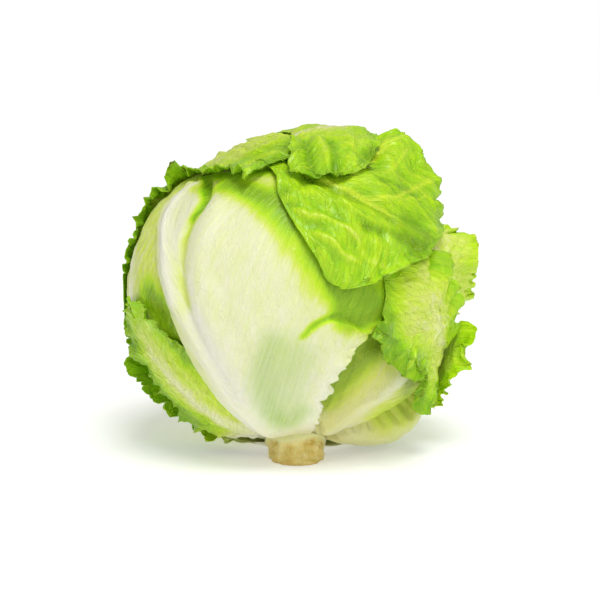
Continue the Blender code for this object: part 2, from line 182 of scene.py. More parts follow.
# The tints are the leaves' own colours, but also painted shade as deep green, dark olive, grey green seen
# through and khaki, and painted highlights as pale streaks.
TINTS = ("green", "cool", "cream", "warm", "olive", "vein")
GreenAndShade, SeeThroughShade, PaleAndHighlight, KhakiAndShade, PaintedShade, Vein = (partial(Line, kind) for kind in TINTS)

# Lines of these kinds fade out towards both ends, and the others have round ends.
TAPERED = ("ridge", "step", "vein")


@dataclass
class Leaf:
    """A leaf lofted from its base on the stem through its stations."""

    name: str
    base: list  # (round, height) at its left margin, rib and right margin, where it leaves the stem
    stations: list  # (up, round, height) at the same three places, the rest of the way to its tip
    rows: int = 190
    columns: int = 64
    greens: tuple = (0.05, 0.35, 0.8)  # how green its rib, its blade and its margin are
    edge_reach: float = 10  # mm that the margin's green reaches in
    rib: tuple = (5, 1.2)  # the rib's half width at the stem and its height, mm
    veins: tuple = (9, 0.45, 0.75)  # spacing and height in mm, and how far they lean towards the tip
    ruffle: tuple = (2.5, 15, 11)  # height, wavelength and reach inwards, mm
    teeth: tuple = (1.2, 9)  # depth and wavelength in mm: round lobes, or points if it is below 0
    swell: float = 0.6  # mm that its blade wanders in and out
    blisters: tuple = (0.6, 8)  # height and size, mm
    curl: float = 0.0  # mm that its margin turns up
    slot: str = "green_leaf"
    vein_tint: float = 0.8
    # how khaki it is, most towards its stem: its own yellowish base, and partly painted shade
    khaki_and_shade_amount: float = 0.25
    shading: float = 0.2  # how much painted shade deepens the green in its creases, and painted light pales the tops of its blisters
    lines: list = field(default_factory=list)


# The front leaf's two ribs and the groove between them, each from near its tip to its stem end.
LEFT_RIDGE = [(128, -46), (121, -50), (111, -49), (99, -45), (88, -43), (78, -41), (66, -37), (50, -34),
    (34, -31), (20, -28), (12, -24)]
GROOVE = [(110, -33), (101, -35), (93, -36), (85, -36), (76, -35), (66, -33), (52, -29), (38, -25)]
BROAD_RIDGE = [(119, -25), (110, -24), (100, -26), (88, -28), (76, -28), (64, -26), (50, -22), (36, -19),
    (22, -15), (12, -8)]

SIDE_LEAF = Leaf("side_leaf", [(106, -11), (124, -11), (142, -11)], [
    [(40, 92, -10), (40, 120, -10), (40, 150, -10)],
    [(68, 84, -9), (68, 118, -9), (68, 155, -9)],
    [(95, 74, -7), (95, 112, -6), (100, 152, -6)],
    [(115, 66, -5), (115, 104, -4), (124, 146, -4)],
    [(131, 52, -5), (132, 92, -4), (142, 136, -4)],
    [(146, 46, -5), (146, 88, -4), (153, 134, -4)],
    [(158, 50, -5), (156, 86, -4), (161, 120, -4)],
    [(165, 84, -5), (161, 85, -4.5), (165, 84, -5)],
], greens=(0.05, 0.3, 0.6), slot="pale_leaf")
LEFT_LEAF = Leaf("left_leaf", [(-88, -5), (-64, -4), (-40, -3.5)], [
    [(30, -99, -3.5), (30, -68, -2.5), (30, -31, -2.5)],
    [(50, -107, -3), (48, -71, -2), (48, -28, -2.5)],
    [(70, -111, -3), (66, -73, -1.4), (68, -28, -2.5)],
    [(90, -110, -3), (84, -74, -1.2), (88, -30, -2.5)],
    [(108, -116, -3.5), (100, -76, -1.2), (106, -36, -2.5)],
    [(124, -118, -4), (114, -80, -2), (120, -48, -2.5)],
    [(137, -114, -4.5), (127, -81, -2.5), (133, -50, -3)],
    [(148, -108, -5), (139, -77, -3.5), (143, -46, -4)],
    [(153, -80, -5), (150, -77, -4.8), (153, -80, -5)],
], greens=(0.1, 0.3, 0.42), blisters=(0.4, 9), ruffle=(1.2, 18, 9), slot="pale_leaf", lines=[
    # Painted shade: deep green and dark olive in the shaded hollow beside the front leaf.
    GreenAndShade([(84, -57), (76, -50), (66, -45), (56, -42)], 7, 0.7),
    PaintedShade([(80, -54), (73, -49), (66, -45), (58, -43)], 5, 0.5),
])
BOTTOM_RIGHT_LEAF = Leaf("bottom_right_leaf", [(44, -3), (84, -1), (120, -3)], [
    [(20, 52, -2.5), (20, 88, 0.3), (22, 118, -2)],
    [(30, 68, -5), (30, 96, 3.5), (33, 122, -4)],
    [(40, 79, -5), (40, 100, 5), (45, 124, -4)],
    [(52, 86, -4), (50, 103, 2.5), (57, 124, -5)],
    [(64, 88, -4), (60, 105, -1), (68, 122, -5)],
    [(73, 93, -4.5), (68, 105, -3), (75, 114, -4.5)],
    [(77, 103, -5), (73, 104, -4.5), (77, 103, -5)],
], greens=(0.08, 0.18, 0.34), khaki_and_shade_amount=0.75, rib=(9, 1.8), veins=(9, 0.05, 1.1), vein_tint=0.15,
   blisters=(0.15, 9), shading=0.05, ruffle=(0.5, 24, 5), slot="pale_leaf", lines=[
    Ridge([(10, 58), (20, 64), (29, 74), (38, 84), (47, 92), (58, 98)], 7, -3.4),
    Ridge([(13, 118), (20, 98), (28, 99), (36, 99)], 1.3, 0.9),
    Ridge([(13, 122), (24, 112), (32, 108)], 1.3, 0.8),
    GreenAndShade([(24, 70), (38, 84), (52, 92)], 10, 0.25),
])
FRONT_RIGHT_LEAF = Leaf("front_right_leaf", [(14, -1), (42, -1), (66, -2)], [
    [(24, 6, -2), (20, 40, -2), (20, 64, -3)],
    [(38, 3, -3.5), (29, 48, -3), (29, 73, -3.5)],
    [(52, 6, -4.5), (38, 58, -3.5), (38, 83, -4)],
    [(65, 16, -4.5), (47, 66, -4), (47, 91, -4)],
    [(75, 32, -2.5), (56, 71, -3), (58, 95, -4)],
    [(81, 48, -3), (64, 72, -3), (70, 88, -3.5)],
    [(80, 66, -3), (73, 69, -3), (80, 66, -3)],
], greens=(0.04, 0.24, 0.5), khaki_and_shade_amount=0.55, rib=(11, 3), blisters=(0.25, 8), veins=(9, 0.3, 0.9),
   ruffle=(0.6, 18, 6), slot="pale_leaf", lines=[
    Calm([(12, 66), (20, 64), (29, 73), (38, 83), (47, 91), (62, 96)], 12, 1),
    # Painted shade under the front leaf's lobe: deep green and dark olive bands, with khaki that is partly
    # painted shade.
    GreenAndShade([(36, 20), (46, 28), (54, 36), (61, 46)], 10, 0.7),
    KhakiAndShade([(24, 30), (36, 40), (46, 50)], 12, 0.35),
    GreenAndShade([(48, 12), (56, 24), (62, 36)], 7, 0.3),
    PaintedShade([(34, 22), (42, 27), (50, 32), (58, 40)], 9, 0.8),
    Ridge([(14, 32), (24, 38), (33, 47), (40, 60)], 2.2, 1),
])
LOWER_LEFT_LEAF = Leaf("lower_left_leaf", [(-74, -3), (-56, -2.5), (-40, -2)], [
    [(21, -84, 0), (22, -58, -1), (22, -36, -1)],
    [(33, -91, 1), (33, -60, -0.7), (34, -34, -1)],
    [(44, -91, 1), (44, -61, -0.5), (46, -34, -1)],
    [(54, -87, 1), (54, -63, -0.5), (56, -38, -0.5)],
    [(63, -84, 0.5), (63, -65, -0.5), (65, -47, 0)],
    [(72, -83, 0), (70, -66, -0.5), (73, -52, 0)],
    [(80, -79, 0), (76, -67, -0.5), (80, -57, 0)],
    [(86, -67, 0), (81, -67, 0), (86, -67, 0)],
], greens=(0.15, 0.42, 0.85), edge_reach=8, rib=(5, 1.5), ruffle=(2.6, 16, 9), teeth=(1.6, 9), curl=0.8,
   lines=[
    GreenAndShade([(79, -52), (70, -47), (58, -44)], 5, 0.5),
    GreenAndShade([(52, -88), (62, -86), (74, -82)], 9, 0.35),
    GreenAndShade([(14, -46), (20, -60), (30, -76), (40, -84)], 7, 0.55),
])
FRONT_LEAF = Leaf("front_leaf", [(-44, 0), (-12, 0.5), (26, 0)], [
    [(22, -38, 0.5), (20, -18, 0.5), (17, 24, 0)],
    [(33, -41, 0.5), (30, -22, 1), (25, 20, 0.8)],
    [(43, -41, 0.5), (40, -25, 1), (33, 18, 1.8)],
    [(53, -42, 0.5), (50, -28, 1), (42, 21, 2.5)],
    [(65, -43, 0.5), (60, -30, 1), (51, 24, 2.5)],
    [(77, -44, 0.5), (70, -32, 1), (59, 29, 2)],
    [(90, -48, 0.5), (80, -34, 1), (66, 37, 0.5)],
    [(102, -51.5, 0.5), (88, -36, 1), (71, 44, 0)],
    [(112, -56, 0), (96, -38, 1), (81, 46, -0.5)],
    [(120, -58, -0.5), (103, -38, 0.5), (93, 36, -0.5)],
    [(127, -53, -1), (109, -37, 0), (103, 22, -1)],
    [(132, -47, -2), (118, -37, -1), (116, 7, -1.5)],
    [(138, -38, -3), (127, -33, -2), (129, 0, -2.5)],
    [(142, -24, -4), (134, -27, -3), (140, -12, -4)],
], rows=262, columns=90, greens=(0, 0.12, 0.2), edge_reach=5, rib=(9, 0.6), veins=(7, 0.16, 1.3),
   ruffle=(1, 16, 6), teeth=(-1.5, 6), swell=0.4, blisters=(0.12, 9), khaki_and_shade_amount=0.15, slot="pale_leaf",
   lines=[
    Calm([(126, -54), (112, -56), (90, -48), (60, -43), (30, -39), (14, -40)], 6, 0.9),
    PaleAndHighlight(LEFT_RIDGE[:6], 3.5, 0.8),
    Ridge(LEFT_RIDGE, 4.2, 2),
    Ridge(GROOVE, 3, -1.8),
    Ridge(BROAD_RIDGE, 8, 3),
    Ridge([(136, -44), (125, -36), (117, -32), (112, -31), (106, -32)], 3.2, -3.2, 0.25),
    # Painted shade in the notch beside the left rib, beside the leaves that overhang it, and under the
    # lobe.
    GreenAndShade([(136, -44), (125, -37), (117, -33), (112, -32), (107, -33)], 3.2, 0.8),
    PaintedShade([(130, -38), (124, -35), (117, -32), (112, -31)], 2, 0.4),
    PaintedShade([(120, -16), (112, -5), (104, 2), (98, 5)], 3.5, 0.3),
    PaintedShade([(64, 22), (66, 28), (70, 36)], 3.5, 0.35),
    GreenAndShade(GROOVE[:5], 4, 0.2),
    GreenAndShade([(122, -22), (117, -16), (110, -5), (101, 3), (93, 9), (84, 14), (76, 20), (74, 30)], 7, 0.75),
    GreenAndShade([(114, -13), (104, -6), (98, -1), (90, 3), (84, 8)], 5, 0.28),
    GreenAndShade([(126, -47), (122, -36), (119, -24)], 4, 0.3),
    GreenAndShade([(135, -52), (131, -36), (126, -18), (124, -4)], 5, 0.65),
    GreenAndShade([(124, 4), (116, 2), (108, 4), (100, 8)], 5, 0.7),
    # A khaki band along the front leaf's base: its own yellowish tone, and partly painted shade near the
    # floor.
    KhakiAndShade([(8, -50), (12, -10), (8, 30)], 12, 0.5),
    Bite([(44, 25), (46, 14)], 2.4, 3),
    Bite([(36, 26), (38, 12)], 1.6, 2),
    Bite([(59, 32), (56, 24)], 2, 2),
    GreenAndShade([(78, 10), (71, 24), (69, 36)], 9, 0.22),
    # A thin patch of the front leaf, painted grey green with the shade showing through it, as a band and a
    # U.
    SeeThroughShade([(54, 2), (46, -2), (38, -3), (31, -2)], 13, 0.5),
    SeeThroughShade([(60, -6), (52, -11), (43, -14), (33, -13), (26, -6), (26, 3), (31, 9)], 6, 0.4),
    PaleAndHighlight([(13, 9), (27, 14), (39, 17), (50, 20)], 5, 0.6),
    Step([(58, 3), (62, 8), (64, 11), (66, 15), (66, 19), (65, 24), (63, 28), (62, 32)], 9, 5.5, 0.25),
    # Painted shadow under the lobe's lip, as a deep green rim.
    GreenAndShade([(61, 6), (65, 11), (67, 17), (66, 24), (65, 29)], 1.6, 0.5),
    GreenAndShade([(67, 20), (67, 28), (70, 36), (80, 43)], 6, 0.7),
    GreenAndShade([(92, 42), (84, 34), (78, 24)], 10, 0.55),
])
UPPER_RIGHT_LEAF = Leaf("upper_right_leaf", [(137, -9), (152, -9), (168, -9)], [
    [(32, 134, -8), (32, 149, -8), (36, 166, -8)],
    [(50, 124, -6.5), (52, 139, -6.5), (60, 157, -7)],
    [(62, 109, -4), (66, 120, -3), (77, 141, -4)],
    [(64, 93, -2), (73, 102, 1), (83, 116, 1.5)],
    [(68, 77, -2), (80, 88, 3), (85, 98, 8)],
    [(76, 60, -2.5), (88, 77, 3), (90, 88, 14)],
    [(87, 47, -2.5), (94, 70, 0), (95, 85, 18)],
    [(97, 44, -2.5), (99, 64, -1), (102, 84, 9)],
    [(104, 48, -3), (103, 60, -2), (108, 75, -2)],
    [(110, 57, -3), (106, 58, -2), (110, 57, -3)],
], rows=220, columns=64, greens=(0.12, 0.3, 0.58), edge_reach=9, rib=(5, 1), veins=(10, 0.8, 0.6),
   blisters=(0.7, 8), shading=0.2, ruffle=(4.6, 10, 12), teeth=(2, 7), swell=1.2, lines=[
    Ridge([(74, 92), (80, 74), (87, 64), (96, 60)], 1.6, 2.2),
    Ridge([(74, 94), (83, 78), (90, 72), (98, 74)], 1.6, 2.2),
    Ridge([(76, 96), (86, 88), (92, 84), (98, 84)], 1.6, 2),
    Vein([(74, 92), (80, 74), (87, 64), (96, 60)], 1.4, 1),
    Vein([(74, 94), (83, 78), (90, 72), (98, 74)], 1.4, 1),
])
RIGHT_LEAF = Leaf("right_leaf", [(112, -7), (126, -7), (143, -8)], [
    [(28, 114, -5), (28, 125, -5.5), (30, 142, -7)],
    [(41, 113, -2.5), (44, 120, -4), (50, 136, -6)],
    [(49, 105, -0.5), (55, 111, -2), (65, 122, -4)],
    [(52, 95, 2), (62, 101, 0), (71, 104, -1)],
    [(47, 86, 3), (66, 91, 1.5), (73, 92, 1.5)],
    [(41, 80, 3.5), (66, 81, 2), (75, 83, 2)],
    [(46, 72, 2.5), (67, 73, 2), (83, 72, 1.5)],
    [(49, 65, 2.5), (67, 65, 2), (92, 60, 0)],
    [(51, 58, 3), (65, 58, 2), (93, 47, -1)],
    [(51.5, 49, 3.5), (63, 51, 2.5), (84, 36, -0.5)],
    [(54, 41, 3.5), (61.5, 43, 3), (73, 36, 1)],
    [(59, 35, 3), (63, 36, 2.5), (67, 34.5, 2)],
    [(63, 30, 1.5), (64, 30.5, 1.5), (63, 30, 1.5)],
], rows=220, columns=60, greens=(0.2, 0.34, 0.88), edge_reach=14, rib=(4, 0.8), veins=(9, 0.8, 0.6),
   ruffle=(5, 17, 13), teeth=(3, 12), swell=1.2, blisters=(0.55, 9), curl=1.5, shading=0.2, lines=[
    Ridge([(75, 79), (77, 62), (80, 51), (80, 43)], 1.6, 0.8),
    Ridge([(75, 81), (71, 63), (67, 55)], 1.6, 0.8),
    Ridge([(72, 77), (66, 68), (59, 71), (52, 94)], 1.6, 0.8),
    PaleAndHighlight([(88, 50), (80, 60), (74, 72)], 8, 0.25),
    GreenAndShade([(65, 36), (60, 40), (54, 48), (51, 60), (47, 74)], 8, 0.5),
    Calm([(94, 50), (86, 40), (78, 36), (70, 35)], 6, 1),
    Bite([(50, 55), (58, 56)], 2, 5),
    Bite([(46, 66), (53, 66)], 1.6, 3),
    # Painted shade as a thin dark olive line.
    PaintedShade([(60, 56), (54, 62), (50, 70)], 2, 0.3),
])
RIGHT_CURL_LEAF = Leaf("right_curl_leaf", [(116, -4), (131, -4), (148, -4.5)], [
    [(28, 118, -3), (30, 130, -3), (34, 146, -4.5)],
    [(41, 113, -1), (44, 124, -2), (52, 138, -4)],
    [(50, 104, 3), (55, 114, 1), (65, 124, -1)],
    [(54, 97, 6), (62, 106, 4), (73, 110, 2.5)],
    [(57, 93, 8), (66, 98, 6.5), (76, 97, 7)],
    [(61, 91, 10), (68, 94, 9), (74, 89, 12)],
    [(67, 89, 13), (68, 91, 11), (67, 89, 13)],
], greens=(0.06, 0.24, 0.7), edge_reach=7, ruffle=(3.6, 10, 10), teeth=(1.4, 7), swell=1, curl=1)
BACK_LEFT_LEAF = Leaf("back_left_leaf", [(-148, -4.5), (-126, -4.5), (-104, -5)], [
    [(30, -160, -4.5), (28, -131, -4), (25, -108, -3)],
    [(48, -168, -4.5), (44, -132, -3.5), (38, -101, 0)],
    [(66, -172, -4.5), (58, -134, -3.5), (50, -94, 1.5)],
    [(84, -171, -4.5), (72, -134, -3.5), (60, -91, 1.8)],
    [(98, -162, -4.5), (84, -132, -3.5), (71, -92, 0.8)],
    [(109, -150, -4.5), (94, -129, -3.5), (84, -90, 0)],
    [(115, -139, -4), (102, -127, -3.5), (97, -97, -2)],
    [(118, -129, -4), (108, -123, -3.5), (108, -108, -3)],
    [(117, -119, -4), (112, -120, -4), (117, -119, -4)],
], greens=(0.1, 0.5, 1), edge_reach=16, ruffle=(3.4, 12, 11), teeth=(2.2, 8), swell=1, curl=1)
DROOPING_LEAF = Leaf("drooping_leaf", [(155, -3), (172, -3), (-170, -3)], [
    [(35, 152, -3), (35, 172, -3), (35, -166, -3)],
    [(60, 150, -3), (60, 172, -3), (60, -162, -3)],
    [(85, 148, -3), (85, 172, -3), (85, -160, -3)],
    [(108, 146, -3), (110, 172, -3), (110, -156, -3)],
    [(128, 138, -3), (133, 171, -3), (133, -150, -3)],
    [(143, 124, -3), (154, 164, -3), (155, -134, -3)],
    [(152, 98, -2.5), (172, 110, -3), (166, -70, -3)],
    [(148, 70, -1), (157, 24, -3), (151, -24, -3)],
    [(139, 64, 7), (141, 14, -2), (137, -9, -2.5)],
    [(133, 68, 12), (131, 13, -1), (127, -5, -1)],
    [(127, 72, 9), (123, 17, 0.5), (118, -1, 1)],
    [(121, 74, 6), (116, 22, 1.5), (109, 0, 2)],
    [(115, 76, 4.5), (110, 30, 2), (101, 3, 2)],
    [(109, 76, 3.5), (105, 35, 2.5), (92.5, 7, 2.5)],
    [(104, 72, 3), (100, 39, 2.5), (85, 11, 2.5)],
    [(99, 64, 3), (95, 41, 3), (78.5, 14.5, 2.5)],
    [(94, 57, 3), (89, 41, 3), (76.5, 21, 3)],
    [(87, 49, 3), (84.5, 41, 3), (81, 35, 3)],
], rows=270, columns=84, greens=(0.62, 0.7, 0.78), edge_reach=8, rib=(3, -0.8), veins=(12, 0.5, 0.9),
   vein_tint=0.2, ruffle=(2.2, 20, 11), teeth=(2.6, 11), swell=2.2, blisters=(0.8, 12), shading=0.2,
   curl=1.2, lines=[
    Calm([(122, -4), (110, 0), (97, 5), (86, 11), (79, 15)], 6, 0.9),
    Bite([(112, 78), (108, 60)], 3.2, 7),
    Bite([(129, 78), (123, 66)], 3.2, 7),
    Bite([(86, 50), (92, 44)], 2, 2),
    Bite([(77, 26), (83, 30)], 2, 2.5),
    Bite([(76, 20), (81, 22)], 1.2, 1),
    GreenAndShade([(100, 50), (94, 52), (92, 44)], 7, 0.3),
    GreenAndShade([(104, 66), (112, 52), (116, 40)], 6, 0.15),
    Ridge([(122, 34), (128, 48), (132, 62)], 6, 1.6),
    Ridge([(111, 50), (104, 58), (98, 60)], 5, 1.6),
    Ridge([(116, 48), (121, 60), (126, 70)], 4, -1.6),
    Ridge([(119, 8), (113, 18), (108, 28), (104, 35), (99, 42)], 4.5, -3.8),
    Ridge([(98, 26), (96, 36), (94, 44), (91, 50)], 4, -2.4),
    Ridge([(103, 5), (100, 9), (99, 15), (95, 21), (91, 25)], 2, 2.4),
    Ridge([(94, 10), (92, 13), (90, 16), (87, 19), (85, 25)], 1.8, 2.2),
    Ridge([(107, 19), (103, 24), (99, 30), (97, 35)], 1.9, 2),
    Vein([(117, 14), (113, 22), (108, 31), (105, 36), (101, 43)], 1, 1),
    Vein([(111, 26), (108, 34), (109, 43), (112, 50), (117, 64), (119, 74)], 0.9, 0.9),
    Vein([(109, 43), (110, 53), (114, 68)], 0.7, 0.7),
    Vein([(117, 26), (119, 32), (127, 44), (137, 62)], 0.9, 0.9),
    Vein([(127, 44), (132, 56), (134, 68)], 0.7, 0.7),
    Vein([(119, 39), (121, 48), (131, 66)], 0.7, 0.7),
    # Painted shade along the valleys.
    PaintedShade([(119, 10), (113, 19), (108, 28), (104, 35), (99, 42), (95, 52)], 3, 0.4),
    PaintedShade([(97, 27), (96, 36), (94, 44), (91, 50)], 2.5, 0.3),
    # Painted highlights: pale streaks along the tops of the ridges.
    PaleAndHighlight([(103, 5), (100, 9), (99, 15), (95, 21), (91, 25)], 1.3, 0.3),
    PaleAndHighlight([(94, 10), (92, 13), (90, 16), (87, 19), (85, 25)], 1.2, 0.3),
    PaleAndHighlight([(88, 26), (85, 30), (84, 34)], 1.6, 0.3),
])
TOP_LEAF = Leaf("top_leaf", [(-172, -1.5), (-150, -1), (-128, -1.5)], [
    [(32, 178, -1.5), (30, -151, -0.5), (28, -118, -1.5)],
    [(52, 176, -1.5), (48, -152, -1.5), (44, -113, -1)],
    [(74, 175, -1.5), (68, -151, -1.5), (60, -109, 0)],
    [(96, 172, -1.5), (88, -148, -1.5), (76, -100, 1)],
    [(118, 167, -1.5), (108, -142, -1.5), (88, -90, 1.5)],
    [(138, 158, -1.5), (124, -130, -1.5), (101, -82, 1.2)],
    [(153, 140, -2), (138, -116, -2.5), (114, -77, 1.4)],
    [(162, 100, -3), (148, -96, -4), (126, -71, 1.5)],
    [(160, 40, -4), (149, -68, -4.5), (134, -60, 1.8)],
    [(150, 22, -4), (145, -44, -3.5), (132, -45, 1.5)],
    [(138, 12, -1.5), (136, -22, -1.5), (126, -28, 1.5)],
    [(124, 8, 1), (122, -2, 1), (116, -10, 1.5)],
], rows=240, columns=72, greens=(0.25, 0.4, 1), edge_reach=9, rib=(5, 1), veins=(10, 0.8, 0.8),
   ruffle=(2.8, 12, 8), teeth=(1.8, 9), swell=1.1, curl=0.6, blisters=(1, 9), lines=[
    GreenAndShade([(100, -82), (114, -80), (128, -76)], 6, 0.4),
    GreenAndShade([(126, -30), (132, -22), (136, -8), (136, 4)], 8, 0.3),
    Bite([(126, -52), (134, -50)], 2, -3.5),
    Bite([(117, -21), (127, -24)], 1.6, 4),
    Bite([(115, -12), (124, -14)], 1.6, -3),
    Bite([(128, -60), (136, -62)], 1.8, 4),
    Bite([(122, -34), (130, -34)], 2, -4),
])
CROWN_LEAF = Leaf("crown_leaf", [(132, 0), (150, 0), (168, 0)], [
    [(32, 127, 0), (32, 150, 0), (32, 172, 0)],
    [(55, 124, 0), (55, 150, 0), (55, 176, 0)],
    [(80, 122, 0), (80, 150, 0), (80, 178, 0)],
    [(104, 120, 0), (105, 149, 0), (106, 180, 0)],
    [(126, 114, 0), (129, 144, 0), (130, -177, 0)],
    [(144, 103, 0), (149, 130, -1), (152, -164, -1)],
    [(154, 82, -1), (160, 92, -2), (168, -100, -2.5)],
    [(154, 68, 0), (160, 64, -2.5), (166, 10, -4.5)],
    [(147, 60, 1.5), (147, 40, -0.5), (149, 10, -3)],
    [(134, 50, 1.5), (135, 28, 1.5), (133, 6, 1.5)],
    [(120, 36, 2), (122, 19, 2.5), (119, 4, 3)],
    [(115, 23, 3), (111, 16, 3.5), (112, 10, 3.5)],
], rows=240, columns=64, greens=(0.3, 0.6, 0.85), edge_reach=8, rib=(4, 0.8), veins=(9, 0.8, 0.8),
   ruffle=(1.8, 12, 9), teeth=(2.4, 8), swell=1.2, blisters=(0.7, 9), curl=0.5, shading=0.25, lines=[
    Calm([(168, -60), (166, 6), (150, 10), (140, 8)], 8, 1),
    Calm([(152, 100), (154, 82), (154, 68), (147, 60), (141, 56)], 7, 0.9),
    PaleAndHighlight([(166, -30), (160, 8), (148, 10)], 6, 0.5),
    Ridge([(140, 5), (128, 7), (113, 7)], 2.6, 2.4),
    Ridge([(138, 13), (126, 13), (111, 12)], 2.4, -2.6),
    Ridge([(138, 19), (125, 19), (112, 17)], 2.6, 2.6),
    Ridge([(138, 27), (126, 24), (114, 21)], 2.4, -2.4),
    Ridge([(138, 36), (128, 32), (118, 28)], 2.6, 2),
    # Painted shade along the valleys between its folds.
    GreenAndShade([(134, 13), (124, 13), (112, 12)], 3.5, 0.3),
    GreenAndShade([(134, 26), (124, 24), (114, 21)], 3.5, 0.3),
    GreenAndShade([(122, 34), (126, 42)], 5, 0.3),
    Bite([(112, 12), (118, 12)], 2, 3),
    Bite([(115, 25), (120, 24)], 2.2, 4),
    PaleAndHighlight([(143, 8), (147, 24), (150, 46)], 6, 0.6),
])

OUTER_LEAVES = [SIDE_LEAF, LEFT_LEAF, BOTTOM_RIGHT_LEAF, FRONT_RIGHT_LEAF, LOWER_LEFT_LEAF, FRONT_LEAF,
    UPPER_RIGHT_LEAF, RIGHT_LEAF, RIGHT_CURL_LEAF, BACK_LEFT_LEAF, DROOPING_LEAF, TOP_LEAF, CROWN_LEAF
]


def wrapped_leaf(name, around, half_width, top, height, greens):
    """A plain cupped leaf whose rib runs straight up the head at the angle around."""
    widths = [(35, 0.85), (65, 1.0), (95, 0.95), (top - 14, 0.62), (top, 0)]
    base = [(around + side * 0.45 * half_width, height) for side in (-1, 0, 1)]
    stations = [
        [(up, around + side * share * half_width, height) for side in (-1, 0, 1)] for up, share in widths
    ]
    return Leaf(name, base, stations, rows=110, columns=36, greens=greens, ruffle=(1, 16, 8),
                slot="heart_leaf")


HEART_GREENS = (0.05, 0.18, 0.3)
UNDER_GREENS = (0.05, 0.3, 0.5)
HEART_LEAVES = [
    wrapped_leaf(f"heart_leaf_{i + 1}", 144 * i, 62, 158, -20.5 + 1.5 * i, HEART_GREENS) for i in range(5)
]
UNDER_LEAVES = [
    wrapped_leaf("under_leaf_back", 180, 48, 142, -14, UNDER_GREENS),
    wrapped_leaf("under_leaf_left", -118, 44, 138, -11.5, UNDER_GREENS),
    wrapped_leaf("under_leaf_right", 112, 44, 138, -13, UNDER_GREENS),
    wrapped_leaf("under_leaf_front", -6, 46, 128, -8, UNDER_GREENS),
]


def direction(up, around):
    """Unit vectors from the head's centre."""
    up = np.radians(up)[..., None]
    around = np.radians(around)[..., None]
    return np.cos(up) * STEM_AXIS + np.sin(up) * (np.cos(around) * FRONT + np.sin(around) * RIGHT)


def head_radius(directions):
    """Distance from the head's centre to its outer surface, which is flat where it rests."""
    radius = np.full(directions.shape[:-1], HEAD_RADIUS)
    for up, around, height, spread in HEAD_SHAPE:
        cosine = directions @ direction(np.array(float(up)), np.array(float(around)))
        angle = np.degrees(np.arccos(np.clip(cosine, -1, 1)))
        radius = radius + height * MM * bell(angle, spread)
    to_floor = HEAD_CENTRE[2] / np.maximum(-directions[..., 2], 0.2)
    return -FLOOR_BLEND * np.logaddexp(-radius / FLOOR_BLEND, -to_floor / FLOOR_BLEND)


def smooth_curve(knots, dense):
    """A Catmull-Rom curve through the knots."""
    knots = np.concatenate([[2 * knots[0] - knots[1]], knots, [2 * knots[-1] - knots[-2]]])
    t = np.linspace(0, 1, dense, endpoint=False).reshape(-1, *[1] * (knots.ndim - 1))
    pieces = [
        0.5 * (2 * b + (c - a) * t + (2 * a - 5 * b + 4 * c - d) * t**2 + (3 * b - a - 3 * c + d) * t**3)
        for a, b, c, d in zip(knots, knots[1:], knots[2:], knots[3:])
    ]
    return np.concatenate([*pieces, knots[-2:-1]])


def smooth_rows(stations, count):
    """Evenly spaced rows of left margin, rib and right margin, as unit vectors and heights in metres."""
    up, around, height = np.moveaxis(np.array(stations, float), -1, 0)
    path = smooth_curve(np.concatenate([direction(up, around), height[..., None] * MM], axis=-1), 24)
    steps = np.linalg.norm(np.diff(path[..., :3], axis=0), axis=-1).mean(axis=1)
    along = np.concatenate([[0], np.cumsum(steps)])
    wanted = np.linspace(0, along[-1] * (1 - TIP_SHARE), count)
    flat = path.reshape(len(path), -1)
    rows = np.stack([np.interp(wanted, along, column) for column in flat.T], axis=1).reshape(count, 3, 4)
    rows[..., :3] /= np.linalg.norm(rows[..., :3], axis=-1, keepdims=True)
    return rows


def ease(x):
    """A smooth step from 0 to 1 as x goes from 0 to 1."""
    x = np.clip(x, 0, 1)
    return x * x * (3 - 2 * x)


def bell(distance, width, power=2):
    """1 in the middle, and fading out over about this width."""
    return np.exp(-((distance / width) ** power))


def waves(x, seed):
    """Smooth random waves between -1 and 1, about 2 long."""
    heights = np.random.default_rng(seed).uniform(-1, 1, 512)
    cell = np.floor(x).astype(int)
    share = ease(x - cell)
    return heights[cell % 512] * (1 - share) + heights[(cell + 1) % 512] * share


def hills(x, y, seed):
    """Smooth random hills between -1 and 1, about 2 across."""
    heights = np.random.default_rng(seed).uniform(-1, 1, (128, 128))
    column, row = np.floor(x).astype(int), np.floor(y).astype(int)
    a, b = ease(x - column), ease(y - row)
    before, after, low, high = column % 128, (column + 1) % 128, row % 128, (row + 1) % 128
    near = heights[before, low] * (1 - a) + heights[after, low] * a
    far = heights[before, high] * (1 - a) + heights[after, high] * a
    return near * (1 - b) + far * b


def seed_of(name):
    return sum(ord(letter) * (i + 1) for i, letter in enumerate(name))


def arc_mm(a, b):
    """The distance between unit vectors over the head's surface, in millimetres."""
    return np.arccos(np.clip(np.sum(a * b, axis=-1), -1, 1)) * HEAD_RADIUS / MM


@dataclass
class Sheet:
    """A leaf's grid, by row from stem to tip and by column from the left margin to the right one."""

    leaf: Leaf
    directions: np.ndarray
    radii: np.ndarray
    across: np.ndarray  # -1 at the left margin, 0 on the rib, 1 at the right margin
    beside: np.ndarray  # mm out from the rib, less than 0 on the left
    along: np.ndarray  # mm from the stem
    half_width: np.ndarray  # mm from the rib to the margin on this side
    inward: np.ndarray  # mm in from the nearest margin
    margin_run: tuple  # mm along the left margin and the right margin from the tip, by row

    def hills(self, size, salt):
        """Hills of about twice this size in mm all over the leaf, different for each salt."""
        return hills(self.beside / size, self.along / size, seed_of(self.leaf.name) + salt)

    def margin_waves(self, wave):
        """A pattern that runs along the left margin, round the tip and along the right margin."""
        left, right = (wave(run)[:, None] for run in self.margin_run)
        share = ease((self.across + 1) / 2)
        return left * (1 - share) + right * share


